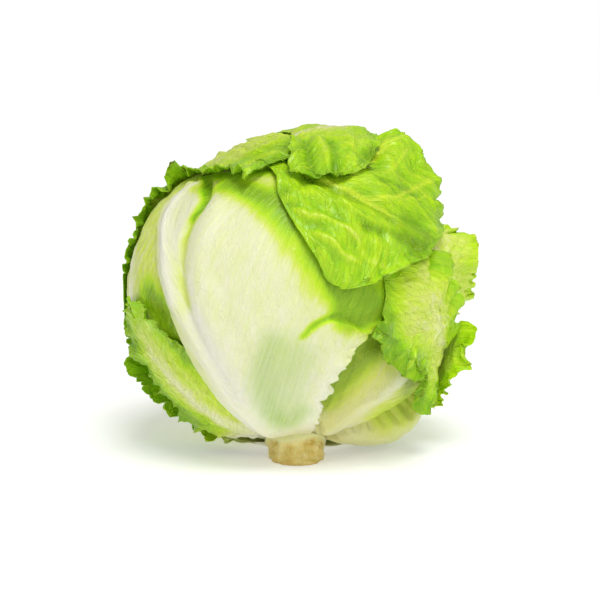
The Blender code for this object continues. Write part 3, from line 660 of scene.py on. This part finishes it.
def leaf_sheet(leaf):
    """The leaf's grid, bent over the head between its rib and its two margins."""
    base = [(BASE_UP, *place) for place in leaf.base]
    rows = smooth_rows([base, *leaf.stations], leaf.rows + 1)
    rib = rows[:, 1]
    across = np.linspace(0, 1, leaf.columns + 1)
    halves, widths, runs = [], [], []
    for edge in (rows[:, 0], rows[:, 2]):
        angle = np.arccos(np.clip(np.sum(rib[:, :3] * edge[:, :3], axis=1), -1, 1))[:, None, None]
        angle = np.maximum(angle, 1e-5)
        share = across[None, :, None]
        turned = (np.sin((1 - share) * angle) * rib[:, None, :3]
                  + np.sin(share * angle) * edge[:, None, :3]) / np.sin(angle)
        flare = across[None, :] ** FLARE
        height = rib[:, None, 3] * (1 - flare) + edge[:, None, 3] * flare
        halves.append((turned, head_radius(turned) + height))
        widths.append(angle[..., 0] * HEAD_RADIUS / MM)
        steps = arc_mm(edge[1:, :3], edge[:-1, :3])
        run = np.concatenate([[0], np.cumsum(steps)])
        runs.append(run - run[-1])
    (left, left_radius), (right, right_radius) = halves
    across = np.concatenate([-across[:0:-1], across])[None, :]
    width = np.where(across < 0, widths[0], widths[1])
    steps = arc_mm(rib[1:, :3], rib[:-1, :3])
    length = np.concatenate([[0], np.cumsum(steps)])[:, None]
    inward = (1 - np.abs(across)) * width
    return Sheet(
        leaf,
        np.concatenate([left[:, :0:-1], right], axis=1),
        np.concatenate([left_radius[:, :0:-1], right_radius], axis=1),
        across + 0 * width,
        across * width,
        length + 0 * across,
        width,
        np.minimum(inward, length[-1, 0] - length + 0.5),
        (runs[0], -runs[1]),
    )


def line_marks(line, directions):
    """How strongly a line marks each direction, and how far to its left side each one is, in mm."""
    up, around = np.array(line.path, float).T
    curve = unit(smooth_curve(direction(up, around), 24))[:: max(1, int(line.width // 2))]
    flat = directions.reshape(-1, 3)
    nearest = np.argmax(flat @ curve.T, axis=1)
    beside = np.cross(curve, np.gradient(curve, axis=0))
    beside /= np.linalg.norm(beside, axis=-1, keepdims=True)
    side = np.sum(flat * beside[nearest], axis=1) * HEAD_RADIUS / MM
    share = nearest / (len(curve) - 1)
    # Off the line's ends, the distance is to its last point, and along it, to the line itself.
    ended = (nearest == 0) | (nearest == len(curve) - 1)
    distance = np.where(ended, arc_mm(flat, curve[nearest]), np.abs(side))
    fade = ease(np.minimum(share, 1 - share) / line.fade + 0.1) if line.kind in TAPERED else 1.0
    marks = fade * bell(distance, line.width)
    return marks.reshape(directions.shape[:-1]), side.reshape(directions.shape[:-1])


def side_veins(sheet):
    """How near a side vein is, 1 on it, and the swelling between veins, 1 in its middle."""
    spacing, _, lean = sheet.leaf.veins
    along = sheet.along
    spread = np.abs(sheet.beside)
    wander = 2.6 * sheet.hills(16, 1)
    wander = wander + 0.7 * sheet.hills(5, 11)
    lean = lean + 1.5 * np.exp(-along / 40)
    place = (along - lean * spread + wander) / spacing + 0.5 * (sheet.beside > 0)
    share = place - np.floor(place)
    distance = np.minimum(share, 1 - share) * spacing / np.sqrt(1 + lean**2)
    fork = place * 2 + 0.5
    fork = fork - np.floor(fork)
    fork = np.minimum(fork, 1 - fork) * spacing / 2 / np.sqrt(1 + lean**2)
    near = bell(distance, 0.8) * (1 - 0.6 * ease(spread / 45))
    near = np.maximum(near, 0.55 * bell(fork, 0.6) * ease((spread - 8) / 10))
    swelling = np.sin(np.pi * share) * (0.6 + 0.4 * sheet.hills(6, 2))
    patchy = 0.65 + 0.35 * sheet.hills(11, 12)
    return near * patchy * ease(spread / 3), swelling


def shape_leaf(sheet, wrapping):
    """Points of the leaf's outer face, and how its marks lie on it."""
    leaf, along, beside, inward = sheet.leaf, sheet.along, sheet.beside, sheet.inward
    seed = seed_of(leaf.name)
    rib_width, rib_height = leaf.rib
    length = along[-1, 0]
    taper = 1 - along / length
    rib = bell(beside, 1.2 + rib_width * taper) * np.sqrt(np.clip(taper, 0, 1))
    vein, swelling = side_veins(sheet)
    blade = 1 - bell(beside, 6)
    lift = rib_height * rib + leaf.veins[1] * blade * (0.7 * vein + 1.3 * swelling)
    lift = lift + leaf.swell * sheet.hills(13, 3)
    lift = lift + 0.35 * leaf.swell * sheet.hills(5, 4)
    height, size = leaf.blisters
    slanted = along - leaf.veins[2] * np.abs(beside)
    for octave in range(3):
        # Rounded blisters between sharp creases, smaller and lower in each octave.
        crease = np.abs(hills(beside / size + 7 * octave, slanted / (1.5 * size), seed + 20 + octave))
        lift = lift + height * blade * (2 * crease - 0.7)
        height, size = height / 1.6, size / 1.9
    tints = {kind: 0 * lift for kind in TINTS}
    bites, calm = 0.0, 0.0
    for line in leaf.lines:
        marks, side = line_marks(line, sheet.directions)
        if line.kind == "ridge":
            lift = lift + line.amount * marks
        elif line.kind == "bite":
            bites = bites + line.amount * marks
        elif line.kind == "calm":
            calm = np.maximum(calm, line.amount * marks)
        elif line.kind == "step":
            lift = lift + line.amount * marks * (ease(0.5 - side / 1.6) - 0.35)
        else:
            tints[line.kind] = tints[line.kind] + line.amount * marks
    lift = lift * ease(along / 8)
    points = HEAD_CENTRE + sheet.directions * (sheet.radii + lift * MM)[..., None]

    outward = sheet.directions
    towards_edge = unit(np.gradient(points, axis=1)) * np.sign(sheet.across)[..., None]
    towards_tip = unit(np.gradient(points, axis=0))
    height, wavelength, reach = leaf.ruffle
    depth, tooth_length = leaf.teeth
    grown = ease((along - 14) / 16) * (1 - calm)
    rise = leaf.curl * grown * bell(inward, reach, 1.5)
    swing = 0.0
    # Each octave of ruffles is shorter, lower and closer to the margin than the last.
    for octave in range(3):
        size = height * grown * bell(inward, reach / 1.8**octave, 1.5) / 1.5**octave
        place = seed + 5 + octave
        length = wavelength / 2 / 2.1**octave
        rise = rise + size * (0.35 + sheet.margin_waves(lambda run: 1.25 * waves(run / length, place)))
        swing = swing + size * sheet.margin_waves(lambda run: waves(run / length + 0.5, place))
    points = points + outward * (rise * MM)[..., None]
    points = points + towards_tip * (0.6 * swing * MM)[..., None]
    at_margin = grown * bell(inward, 1.5 + 1.3 * abs(depth), 1.3)
    cut = sheet.margin_waves(lambda run: 1.3 * np.abs(waves(run / tooth_length * 2, seed + 8)) - 0.5
                             + 0.35 * np.abs(waves(run / tooth_length * 5, seed + 9)))
    shift = depth * at_margin * cut - 0.25 * np.abs(rise) - bites * np.exp(-inward / 8)
    shift = np.maximum(shift, -0.3 * sheet.half_width)
    points = points + towards_edge * (shift * MM)[..., None]

    points = tucked_in(points, wrapping)
    tints["vein"] = np.clip(1.2 * tints["vein"] + leaf.vein_tint * vein * blade, 0, 1)
    # Creases are painted a deeper green than the tops of the blisters, as painted shade in the creases and
    # painted light on the tops, and the stem end is white.
    relief = np.clip(lift - blurred(lift, 12), -1, 0.5)
    green = greenness(sheet) + tints["green"]
    green = green - leaf.shading * relief * ease(2.5 * green)
    tints["green"] = np.clip(green, 0, 1) * ease((along - 6) / 32)
    # Pale lines take the green away: the leaf's own pale ribs, and painted highlights along some ridges.
    tints["green"] = tints["green"] * (1 - np.clip(tints["cream"], 0, 1))
    tints["olive"] = np.clip(tints["olive"], 0, 1)
    tints["cool"] = np.clip(tints["cool"] * (1 - tints["cream"]), 0, 1)
    # Towards the stem, under the head, every leaf turns khaki: its own yellowish base, and partly painted
    # shade.
    near_stem = bell(along, 30, 1.5)
    tints["warm"] = np.clip(tints["warm"] + leaf.khaki_and_shade_amount * (0.35 + 0.65 * near_stem), 0, 1)
    return points, tints


def greenness(sheet):
    """White at the stem and along the rib, greener in the blade and greenest at the margin."""
    at_rib, in_blade, at_margin = sheet.leaf.greens
    along = sheet.along
    length = along[-1, 0]
    risen = ease(along / (0.55 * length))
    off_rib = ease(np.abs(sheet.beside) / (6 + 12 * (1 - along / length)))
    green = at_rib + (in_blade - at_rib) * risen * np.maximum(off_rib, ease(along / length * 2 - 1))
    edge = bell(sheet.inward, sheet.leaf.edge_reach, 1.5) * ease(along / length * 4 - 0.4)
    return green + (at_margin - green) * edge


def unit(vectors):
    return vectors / np.maximum(np.linalg.norm(vectors, axis=-1, keepdims=True), 1e-12)


class Wrapping:
    """How far in the leaves laid so far reach, for each small patch of directions."""

    def __init__(self):
        self.reach = np.full((round(2 * PATCHES_REACH / PATCH),) * 3, 2 * HEAD_RADIUS)

    def patches(self, directions):
        return np.moveaxis(((directions + PATCHES_REACH) / PATCH).astype(int), -1, 0)

    def room(self, directions):
        """The shortest reach in the patch at each direction and the patches next to it."""
        here = self.patches(directions)
        found = np.full(directions.shape[:-1], np.inf)
        for step in np.ndindex(3, 3, 3):
            beside = here + (np.array(step) - 1).reshape(3, *[1] * (here.ndim - 1))
            found = np.minimum(found, self.reach[tuple(beside)])
        return found

    def lay(self, points):
        rays = points - HEAD_CENTRE
        radii = np.linalg.norm(rays, axis=-1)
        np.minimum.at(self.reach, tuple(self.patches(rays / radii[..., None])), radii)


def blurred(grid, times):
    """A grid with each value averaged with its neighbours, several times over."""
    for _ in range(times):
        wide = np.pad(grid, 1, mode="edge")
        grid = (wide[:-2, 1:-1] + wide[2:, 1:-1] + wide[1:-1, :-2] + wide[1:-1, 2:] + 2 * grid) / 6
    return grid


def tucked_in(points, wrapping):
    """The points pushed in under the leaves laid before, inside the CAD model's box."""
    rays = points - HEAD_CENTRE
    radii = np.linalg.norm(rays, axis=-1)
    directions = rays / radii[..., None]
    push = np.maximum(radii - (wrapping.room(directions) - LEAF_SPACING), 0)
    push = np.maximum(blurred(push, 12), blurred(push, 3))
    points = points - directions * push[..., None]
    low, high = (np.array(corner) for corner in CAD_BOX)
    low, high = low + BOX_MARGIN, high - BOX_MARGIN
    points = high - BOX_EASE * np.logaddexp(0, (high - points) / BOX_EASE)
    return low + BOX_EASE * np.logaddexp(0, (points - low) / BOX_EASE)


def new_piece(name, points, faces, marks):
    mesh = bpy.data.meshes.new(name)
    mesh.from_pydata(points.tolist(), [], faces)
    for mark, values in marks.items():
        kind = "FLOAT_VECTOR" if values.ndim == 2 else "FLOAT"
        layer = mesh.attributes.new(mark, kind, "POINT")
        layer.data.foreach_set("vector" if values.ndim == 2 else "value", values.astype(np.float32).ravel())
    mesh.shade_smooth()
    made = bpy.data.objects.new(name, mesh)
    bpy.context.scene.collection.objects.link(made)
    return made


def grid_faces(rows, columns, start=0, wrap=False):
    """Quads between a grid's points, which are numbered row by row."""
    number = np.arange(rows * columns).reshape(rows, columns) + start
    if wrap:
        number = np.concatenate([number, number[:, :1]], axis=1)
    corners = (number[:-1, :-1], number[:-1, 1:], number[1:, 1:], number[1:, :-1])
    return np.stack([corner.ravel() for corner in corners], axis=1)


def rim_faces(rows, columns):
    """Quads that join the borders of two equal grids, the second numbered after the first."""
    number = np.arange(rows * columns).reshape(rows, columns)
    border = np.concatenate([number[0, :-1], number[:-1, -1], number[-1, :0:-1], number[:0:-1, 0]])
    after = np.roll(border, -1)
    below = rows * columns
    return np.stack([after, border, border + below, after + below], axis=1)


def make_leaf(leaf, wrapping):
    """A closed leaf, thin at its margin and thicker along its rib, in place of its CAD node."""
    sheet = leaf_sheet(leaf)
    points, tints = shape_leaf(sheet, wrapping)
    wrapping.lay(points)
    normals = unit(np.cross(np.gradient(points, axis=0), np.gradient(points, axis=1)))
    if np.sum(normals * sheet.directions) < 0:
        normals = -normals
    rib = bell(sheet.beside, 5) * (1 - sheet.along / sheet.along[-1, 0])
    edge = bell(sheet.inward, 4)
    thickness = BLADE_THICKNESS + RIB_THICKNESS * rib
    thickness = thickness * (1 - edge) + MARGIN_THICKNESS * edge
    inner = points - normals * thickness[..., None]
    rows, columns = points.shape[:2]
    outer_faces = grid_faces(rows, columns)
    inner_faces = grid_faces(rows, columns, start=rows * columns)[:, ::-1]
    faces = np.concatenate([outer_faces, inner_faces, rim_faces(rows, columns)])
    both = np.concatenate([points.reshape(-1, 3), inner.reshape(-1, 3)])
    slanted = sheet.along - leaf.veins[2] * np.abs(sheet.beside)
    grain = np.stack([sheet.beside, slanted, 0 * slanted], axis=-1)
    grain = grain + np.array((0, 0, seed_of(leaf.name) % 97))
    marks = {mark: np.tile(values.ravel(), 2) for mark, values in tints.items()}
    marks["grain"] = np.tile(grain.reshape(-1, 3), (2, 1))
    made = new_piece(leaf.name + "_sheet", both, faces.tolist(), marks)
    fix_normals(made.data, points)
    made.data.materials.append(MATERIALS[leaf.slot])
    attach(made, "root")
    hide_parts(leaf.name)


def fix_normals(mesh, points):
    """Turn every face round if the first grid's faces point to the head's centre."""
    a, b, c, d = (np.array(mesh.vertices[i].co) for i in mesh.polygons[len(points[0]) * 3 + 5].vertices)
    if np.dot(np.cross(b - a, c - a), a - HEAD_CENTRE) < 0:
        mesh.flip_normals()


def make_stem():
    """The stump with its knobs and the sheath of leaf bases, and the core that tapers into the heart."""
    face = np.linalg.norm(HEAD_CENTRE)
    turns = np.linspace(0, 2 * np.pi, STEM_SIDES, endpoint=False)[None, :]
    way = np.cos(turns)[..., None] * FRONT + np.sin(turns)[..., None] * RIGHT
    # Down the core in even steps, then down to the level cut face, which each side meets at its own depth.
    share = np.linspace(0, 1, STEM_ROWS)[:, None]
    to_floor = (HEAD_CENTRE[2] + STUMP_RADIUS * 0.985 * way[..., 2]) / -STEM_AXIS[2]
    depth = STEM_INNER_END + share * (to_floor - STEM_INNER_END)
    core = STEM_SLOPE * depth
    stump = STUMP_RADIUS * (1.0 + 0.03 * np.exp(-(((depth - face + 0.004) / 0.003) ** 2)))
    radius = core + (stump - core) * ease((depth - STUMP_START) / 0.004)
    around = turns / (2 * np.pi) * KNOBS_AROUND
    closed = ease(turns / (2 * np.pi) * 8) * ease((1 - turns / (2 * np.pi)) * 8)
    knobs = hills(around, depth / KNOB_LENGTH, 5) * closed
    collar = ease((COLLAR_DEPTH - depth + 0.0012 * np.sin(3 * turns + 2) + 0.0012 * knobs) / 0.004)
    ledge = (depth / LEDGE_SPACING + 0.35 * np.sin(turns * 2 + 0.7)) % 1.0
    on_stump = ease((depth - STUMP_START) / 0.003)
    bare = 1 - 0.85 * collar
    rough = MM * bare * (0.9 * knobs + 0.7 * (ledge - 0.5) - 0.6)
    radius = radius + on_stump * (rough + COLLAR_HEIGHT * collar)
    rim = ease((depth - to_floor + 0.0012) / 0.0012)
    radius = radius - 0.0007 * rim**2
    sides = HEAD_CENTRE + depth[..., None] * STEM_AXIS + radius[..., None] * way
    sides[..., 2] = np.maximum(sides[..., 2], 0)
    sides[-1, :, 2] = 0
    rings = []
    for inwards in np.linspace(0.94, 0.08, 14):
        ring = sides[-1].mean(axis=0) + (sides[-1] - sides[-1].mean(axis=0)) * inwards
        ring[:, 2] = 0.0002 * (1 - inwards) * (1 + 0.6 * np.sin(turns[0] * 3))
        rings.append(ring)
    top = sides[0].mean(axis=0) + (sides[0] - sides[0].mean(axis=0)) * 0.1
    rows = np.concatenate([top[None], sides, np.array(rings)])
    count = len(rows)
    faces = grid_faces(count, STEM_SIDES, wrap=True).tolist()
    faces.append(list(range(STEM_SIDES))[::-1])
    faces.append(list(range((count - 1) * STEM_SIDES, count * STEM_SIDES)))
    sheath = np.zeros(rows.shape[:2])
    sheath[: len(collar) + 1] = np.concatenate([collar[:1], collar])
    made = new_piece("stem_stump", rows.reshape(-1, 3), faces, {"sheath": sheath.ravel()})
    made.data.materials.append(MATERIALS["stem_flesh"])
    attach(made, "root")
    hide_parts("stem")


def linear(red, green, blue):
    """An sRGB colour of 0 to 255 as linear RGBA."""
    share = np.array((red, green, blue)) / 255
    return (*np.where(share <= 0.04045, share / 12.92, ((share + 0.055) / 1.055) ** 2.4), 1.0)


def in_linear(stops):
    return [(position, linear(*colour)) for position, colour in stops]


class Nodes:
    """A short way to lay out a material's nodes."""

    def __init__(self, name):
        self.material = bpy.data.materials.new(name)
        self.material.use_nodes = True
        self.tree = self.material.node_tree
        self.shader = self.tree.nodes["Principled BSDF"]

    def add(self, kind, settings=(), **inputs):
        node = self.tree.nodes.new(kind)
        for key, value in dict(settings).items():
            setattr(node, key, value)
        for key, value in inputs.items():
            self.put(node.inputs[key.replace("_", " ")], value)
        return node

    def put(self, socket, value):
        if isinstance(value, bpy.types.NodeSocket):
            self.tree.links.new(value, socket)
        else:
            socket.default_value = value

    def mark(self, name, output="Fac"):
        return self.add("ShaderNodeAttribute", {"attribute_name": name}).outputs[output]

    def math(self, operation, a, b=0.0, clamp=False):
        node = self.add("ShaderNodeMath", {"operation": operation, "use_clamp": clamp})
        self.put(node.inputs[0], a)
        self.put(node.inputs[1], b)
        return node.outputs[0]

    def mapped(self, vector, scale):
        node = self.add("ShaderNodeMapping", Vector=vector, Scale=scale)
        return node.outputs[0]

    def noise(self, vector, scale, detail=3.0, roughness=0.55, distortion=0.0):
        node = self.add("ShaderNodeTexNoise", Vector=vector, Scale=scale, Detail=detail,
                        Roughness=roughness, Distortion=distortion)
        return node.outputs["Fac"]

    def mix(self, share, a, b):
        node = self.add("ShaderNodeMix", {"data_type": "RGBA"})
        self.put(node.inputs[0], share)
        self.put(node.inputs[6], a)
        self.put(node.inputs[7], b)
        return node.outputs[2]

    def ramp(self, share, stops):
        node = self.add("ShaderNodeValToRGB", Fac=share)
        for spare in list(node.color_ramp.elements)[1:]:
            node.color_ramp.elements.remove(spare)
        first, *others = stops
        node.color_ramp.elements[0].position = first[0]
        node.color_ramp.elements[0].color = first[1]
        for position, colour in others:
            node.color_ramp.elements.new(position).color = colour
        return node.outputs["Color"]

    def finish(self, colour, roughness, relief=None, **constants):
        """Link what varies over the surface, and set what doesn't on the shader's own sockets."""
        self.put(self.shader.inputs["Base Color"], colour)
        self.put(self.shader.inputs["Roughness"], roughness)
        if relief:
            bump = self.add("ShaderNodeBump", **relief)
            self.put(self.shader.inputs["Normal"], bump.outputs[0])
        for name, value in constants.items():
            self.shader.inputs[name.replace("_", " ")].default_value = value
        return self.material

    def smooth(self, value, low, high, out_low=0.0, out_high=1.0):
        node = self.add("ShaderNodeMapRange", {"interpolation_type": "SMOOTHSTEP"}, Value=value)
        for socket, number in zip(node.inputs[1:5], (low, high, out_low, out_high)):
            socket.default_value = number
        return node.outputs[0]


def leaf_material(name, gloss, bump, streakiness):
    """Coloured by the mesh's marks, with a fine net of veins, streaks along them and a mottled bump."""
    n = Nodes(name)
    grain = n.mark("grain", "Vector")
    streaks = n.noise(n.mapped(grain, (0.035, 0.55, 1)), 1.0, 4.0, 0.6, 0.3)
    hairs = n.noise(n.mapped(grain, (0.05, 1.7, 1)), 1.0, 2.0, 0.5, 0.2)
    mottle = n.noise(n.mapped(grain, (0.12, 0.12, 1)), 1.0, 4.0, 0.6)
    cells = n.add("ShaderNodeTexVoronoi", {"feature": "DISTANCE_TO_EDGE"},
                  Vector=n.mapped(grain, (0.22, 0.34, 1)), Scale=1.0, Randomness=0.9)
    net = n.smooth(cells.outputs["Distance"], 0.0, 0.09, 1.0, 0.0)
    # The green mark holds the leaf's own green, deepened in places as painted shade.
    green = n.mark("green")
    wobble = n.math("MULTIPLY", n.math("SUBTRACT", streaks, 0.5), 0.4 * streakiness)
    wobble = n.math("ADD", wobble, n.math("MULTIPLY", n.math("SUBTRACT", mottle, 0.5), 0.5))
    wobble = n.math("MULTIPLY", wobble, n.smooth(green, 0.02, 0.3, 0.25, 1.0))
    green = n.math("ADD", green, wobble, clamp=True)
    colour = n.ramp(green, in_linear(LEAF_COLOURS))
    in_green = n.smooth(green, 0.1, 0.5)
    # Painted shade seen through thin leaf, broken up by the streaks.
    cool = n.math("MULTIPLY", n.mark("cool"), n.smooth(streaks, 0.35, 0.65, 0.8, 1.0))
    colour = n.mix(cool, colour, linear(*SEE_THROUGH_SHADE_TINT))
    # Khaki: the leaves' own yellowish bases, and partly painted shade.
    colour = n.mix(n.mark("warm"), colour, linear(*KHAKI_AND_SHADE_TINT))
    # Painted shade: dark olive where the marks put it.
    colour = n.mix(n.mark("olive"), colour, linear(*PAINTED_SHADE_TINT))
    vein = n.math("MAXIMUM", n.math("MULTIPLY", n.mark("vein"), 0.75), n.math("MULTIPLY", net, 0.22))
    vein = n.math("ADD", vein, n.smooth(hairs, 0.56, 0.72, 0.0, 0.16 * streakiness), clamp=True)
    vein = n.math("MULTIPLY", vein, n.math("ADD", n.math("MULTIPLY", in_green, 0.8), 0.12))
    colour = n.mix(vein, colour, linear(*VEIN_TINT))
    height = n.math("ADD", n.math("MULTIPLY", net, 0.5), n.math("MULTIPLY", streaks, 0.6 * streakiness))
    height = n.math("ADD", height, n.math("MULTIPLY", hairs, 0.3 * streakiness))
    height = n.math("ADD", height, n.math("MULTIPLY", mottle, 1.5 - streakiness))
    roughness = n.smooth(mottle, 0.3, 0.7, gloss - 0.06, gloss + 0.08)
    relief = {"Strength": bump, "Distance": 0.0006, "Height": height}
    return n.finish(colour, roughness, relief, Specular_IOR_Level=0.25, Subsurface_Weight=0.35,
                    Subsurface_Radius=(0.8, 1.0, 0.25), Subsurface_Scale=0.0025)


def stem_material():
    n = Nodes("stem_flesh")
    place = n.add("ShaderNodeTexCoord").outputs["Object"]
    fibres = n.noise(n.mapped(place, (900, 900, 160)), 1.0, 4.0, 0.6, 0.4)
    blotches = n.noise(place, 170.0, 4.0, 0.6)
    level = n.add("ShaderNodeSeparateXYZ", Vector=place).outputs["Z"]
    colour = n.ramp(blotches, in_linear(STEM_COLOURS))
    colour = n.mix(n.smooth(fibres, 0.5, 0.75, 0.0, 0.5), colour, linear(*FIBRE_COLOUR))
    colour = n.mix(n.mark("sheath"), colour, linear(*SHEATH_COLOUR))
    colour = n.mix(n.smooth(level, 0.0016, 0.0, 0.0, 0.45), colour, linear(*CUT_RIM_COLOUR))
    relief = {"Strength": 0.5, "Distance": 0.0008, "Height": n.math("ADD", fibres, blotches)}
    return n.finish(colour, n.smooth(blotches, 0.3, 0.7, 0.5, 0.7), relief, Subsurface_Weight=0.2,
                    Subsurface_Scale=0.002)


def heart_material():
    """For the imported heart, whose CAD solid is kept."""
    n = Nodes("heart")
    place = n.add("ShaderNodeTexCoord").outputs["Object"]
    folds = n.noise(n.mapped(place, (60, 60, 14)), 1.0, 4.0, 0.6, 0.6)
    colour = n.ramp(folds, in_linear(HEART_COLOURS))
    relief = {"Strength": 0.6, "Distance": 0.002, "Height": folds}
    return n.finish(colour, n.smooth(folds, 0.3, 0.7, 0.4, 0.55), relief)


def look_at(made, place, aim):
    made.location = place
    made.rotation_mode = "QUATERNION"
    made.rotation_quaternion = (Vector(aim) - Vector(place)).to_track_quat("-Z", "Y")


def add_light(name, kind, power, place):
    light = bpy.data.lights.new(name, kind)
    light.energy = power
    made = bpy.data.objects.new(name, light)
    bpy.context.scene.collection.objects.link(made)
    look_at(made, place, HEAD_CENTRE)
    return light


def make_studio():
    """The white room with its pale floor, the lights and the camera."""
    scene = bpy.context.scene
    scene.view_settings.view_transform = "Standard"
    world = bpy.data.worlds.new("white_room")
    world.use_nodes = True
    background = world.node_tree.nodes["Background"]
    background.inputs["Color"].default_value = (1, 1, 1, 1)
    # The room is seen white, and lights the head less than that.
    seen = world.node_tree.nodes.new("ShaderNodeLightPath").outputs["Is Camera Ray"]
    strength = world.node_tree.nodes.new("ShaderNodeMapRange")
    strength.inputs["To Min"].default_value = ROOM_LIGHT
    world.node_tree.links.new(seen, strength.inputs["Value"])
    world.node_tree.links.new(strength.outputs[0], background.inputs["Strength"])
    scene.world = world

    n = Nodes("pale_floor")
    place = n.add("ShaderNodeTexCoord").outputs["Object"]
    tone = n.noise(place, 3.0, 2.0)
    n.finish(n.ramp(tone, FLOOR_GREYS), n.smooth(tone, 0.3, 0.7, 0.7, 0.8),
             Emission_Color=(1, 1, 1, 1), Emission_Strength=TABLE_LIGHT)
    bpy.ops.mesh.primitive_plane_add(size=FLOOR_SIZE)
    floor = bpy.context.object
    floor.name = "floor"
    floor.data.materials.append(n.material)

    sun = add_light("overhead_light", "SUN", SUN_POWER, HEAD_CENTRE + np.array(SUN_FROM))
    sun.angle = np.radians(SUN_ANGLE)
    front = add_light("front_light", "AREA", FRONT_LIGHT_POWER, FRONT_LIGHT_PLACE)
    front.shape = "DISK"
    front.size = FRONT_LIGHT_SIZE

    camera = bpy.data.objects.new("camera", bpy.data.cameras.new("camera"))
    scene.collection.objects.link(camera)
    camera.data.lens = CAMERA_LENS
    camera.data.clip_start = 0.05
    camera.data.clip_end = 20
    elevation = np.radians(CAMERA_ELEVATION)
    back = np.array((0, -np.cos(elevation), np.sin(elevation)))
    look_at(camera, CAMERA_AIM + CAMERA_DISTANCE * back, CAMERA_AIM)
    scene.camera = camera


MATERIALS = {
    "green_leaf": leaf_material("green_leaf", 0.3, 0.8, 0.16),
    "pale_leaf": leaf_material("pale_leaf", 0.36, 0.5, 0.5),
    "heart_leaf": leaf_material("heart_leaf", 0.42, 0.3, 0.8),
    "stem_flesh": stem_material(),
}
make_studio()
make_stem()
wrapping = Wrapping()
for leaf in reversed([*HEART_LEAVES, *UNDER_LEAVES, *OUTER_LEAVES]):
    make_leaf(leaf, wrapping)
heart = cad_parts["heart"]
heart.data.materials.clear()
heart.data.materials.append(heart_material())
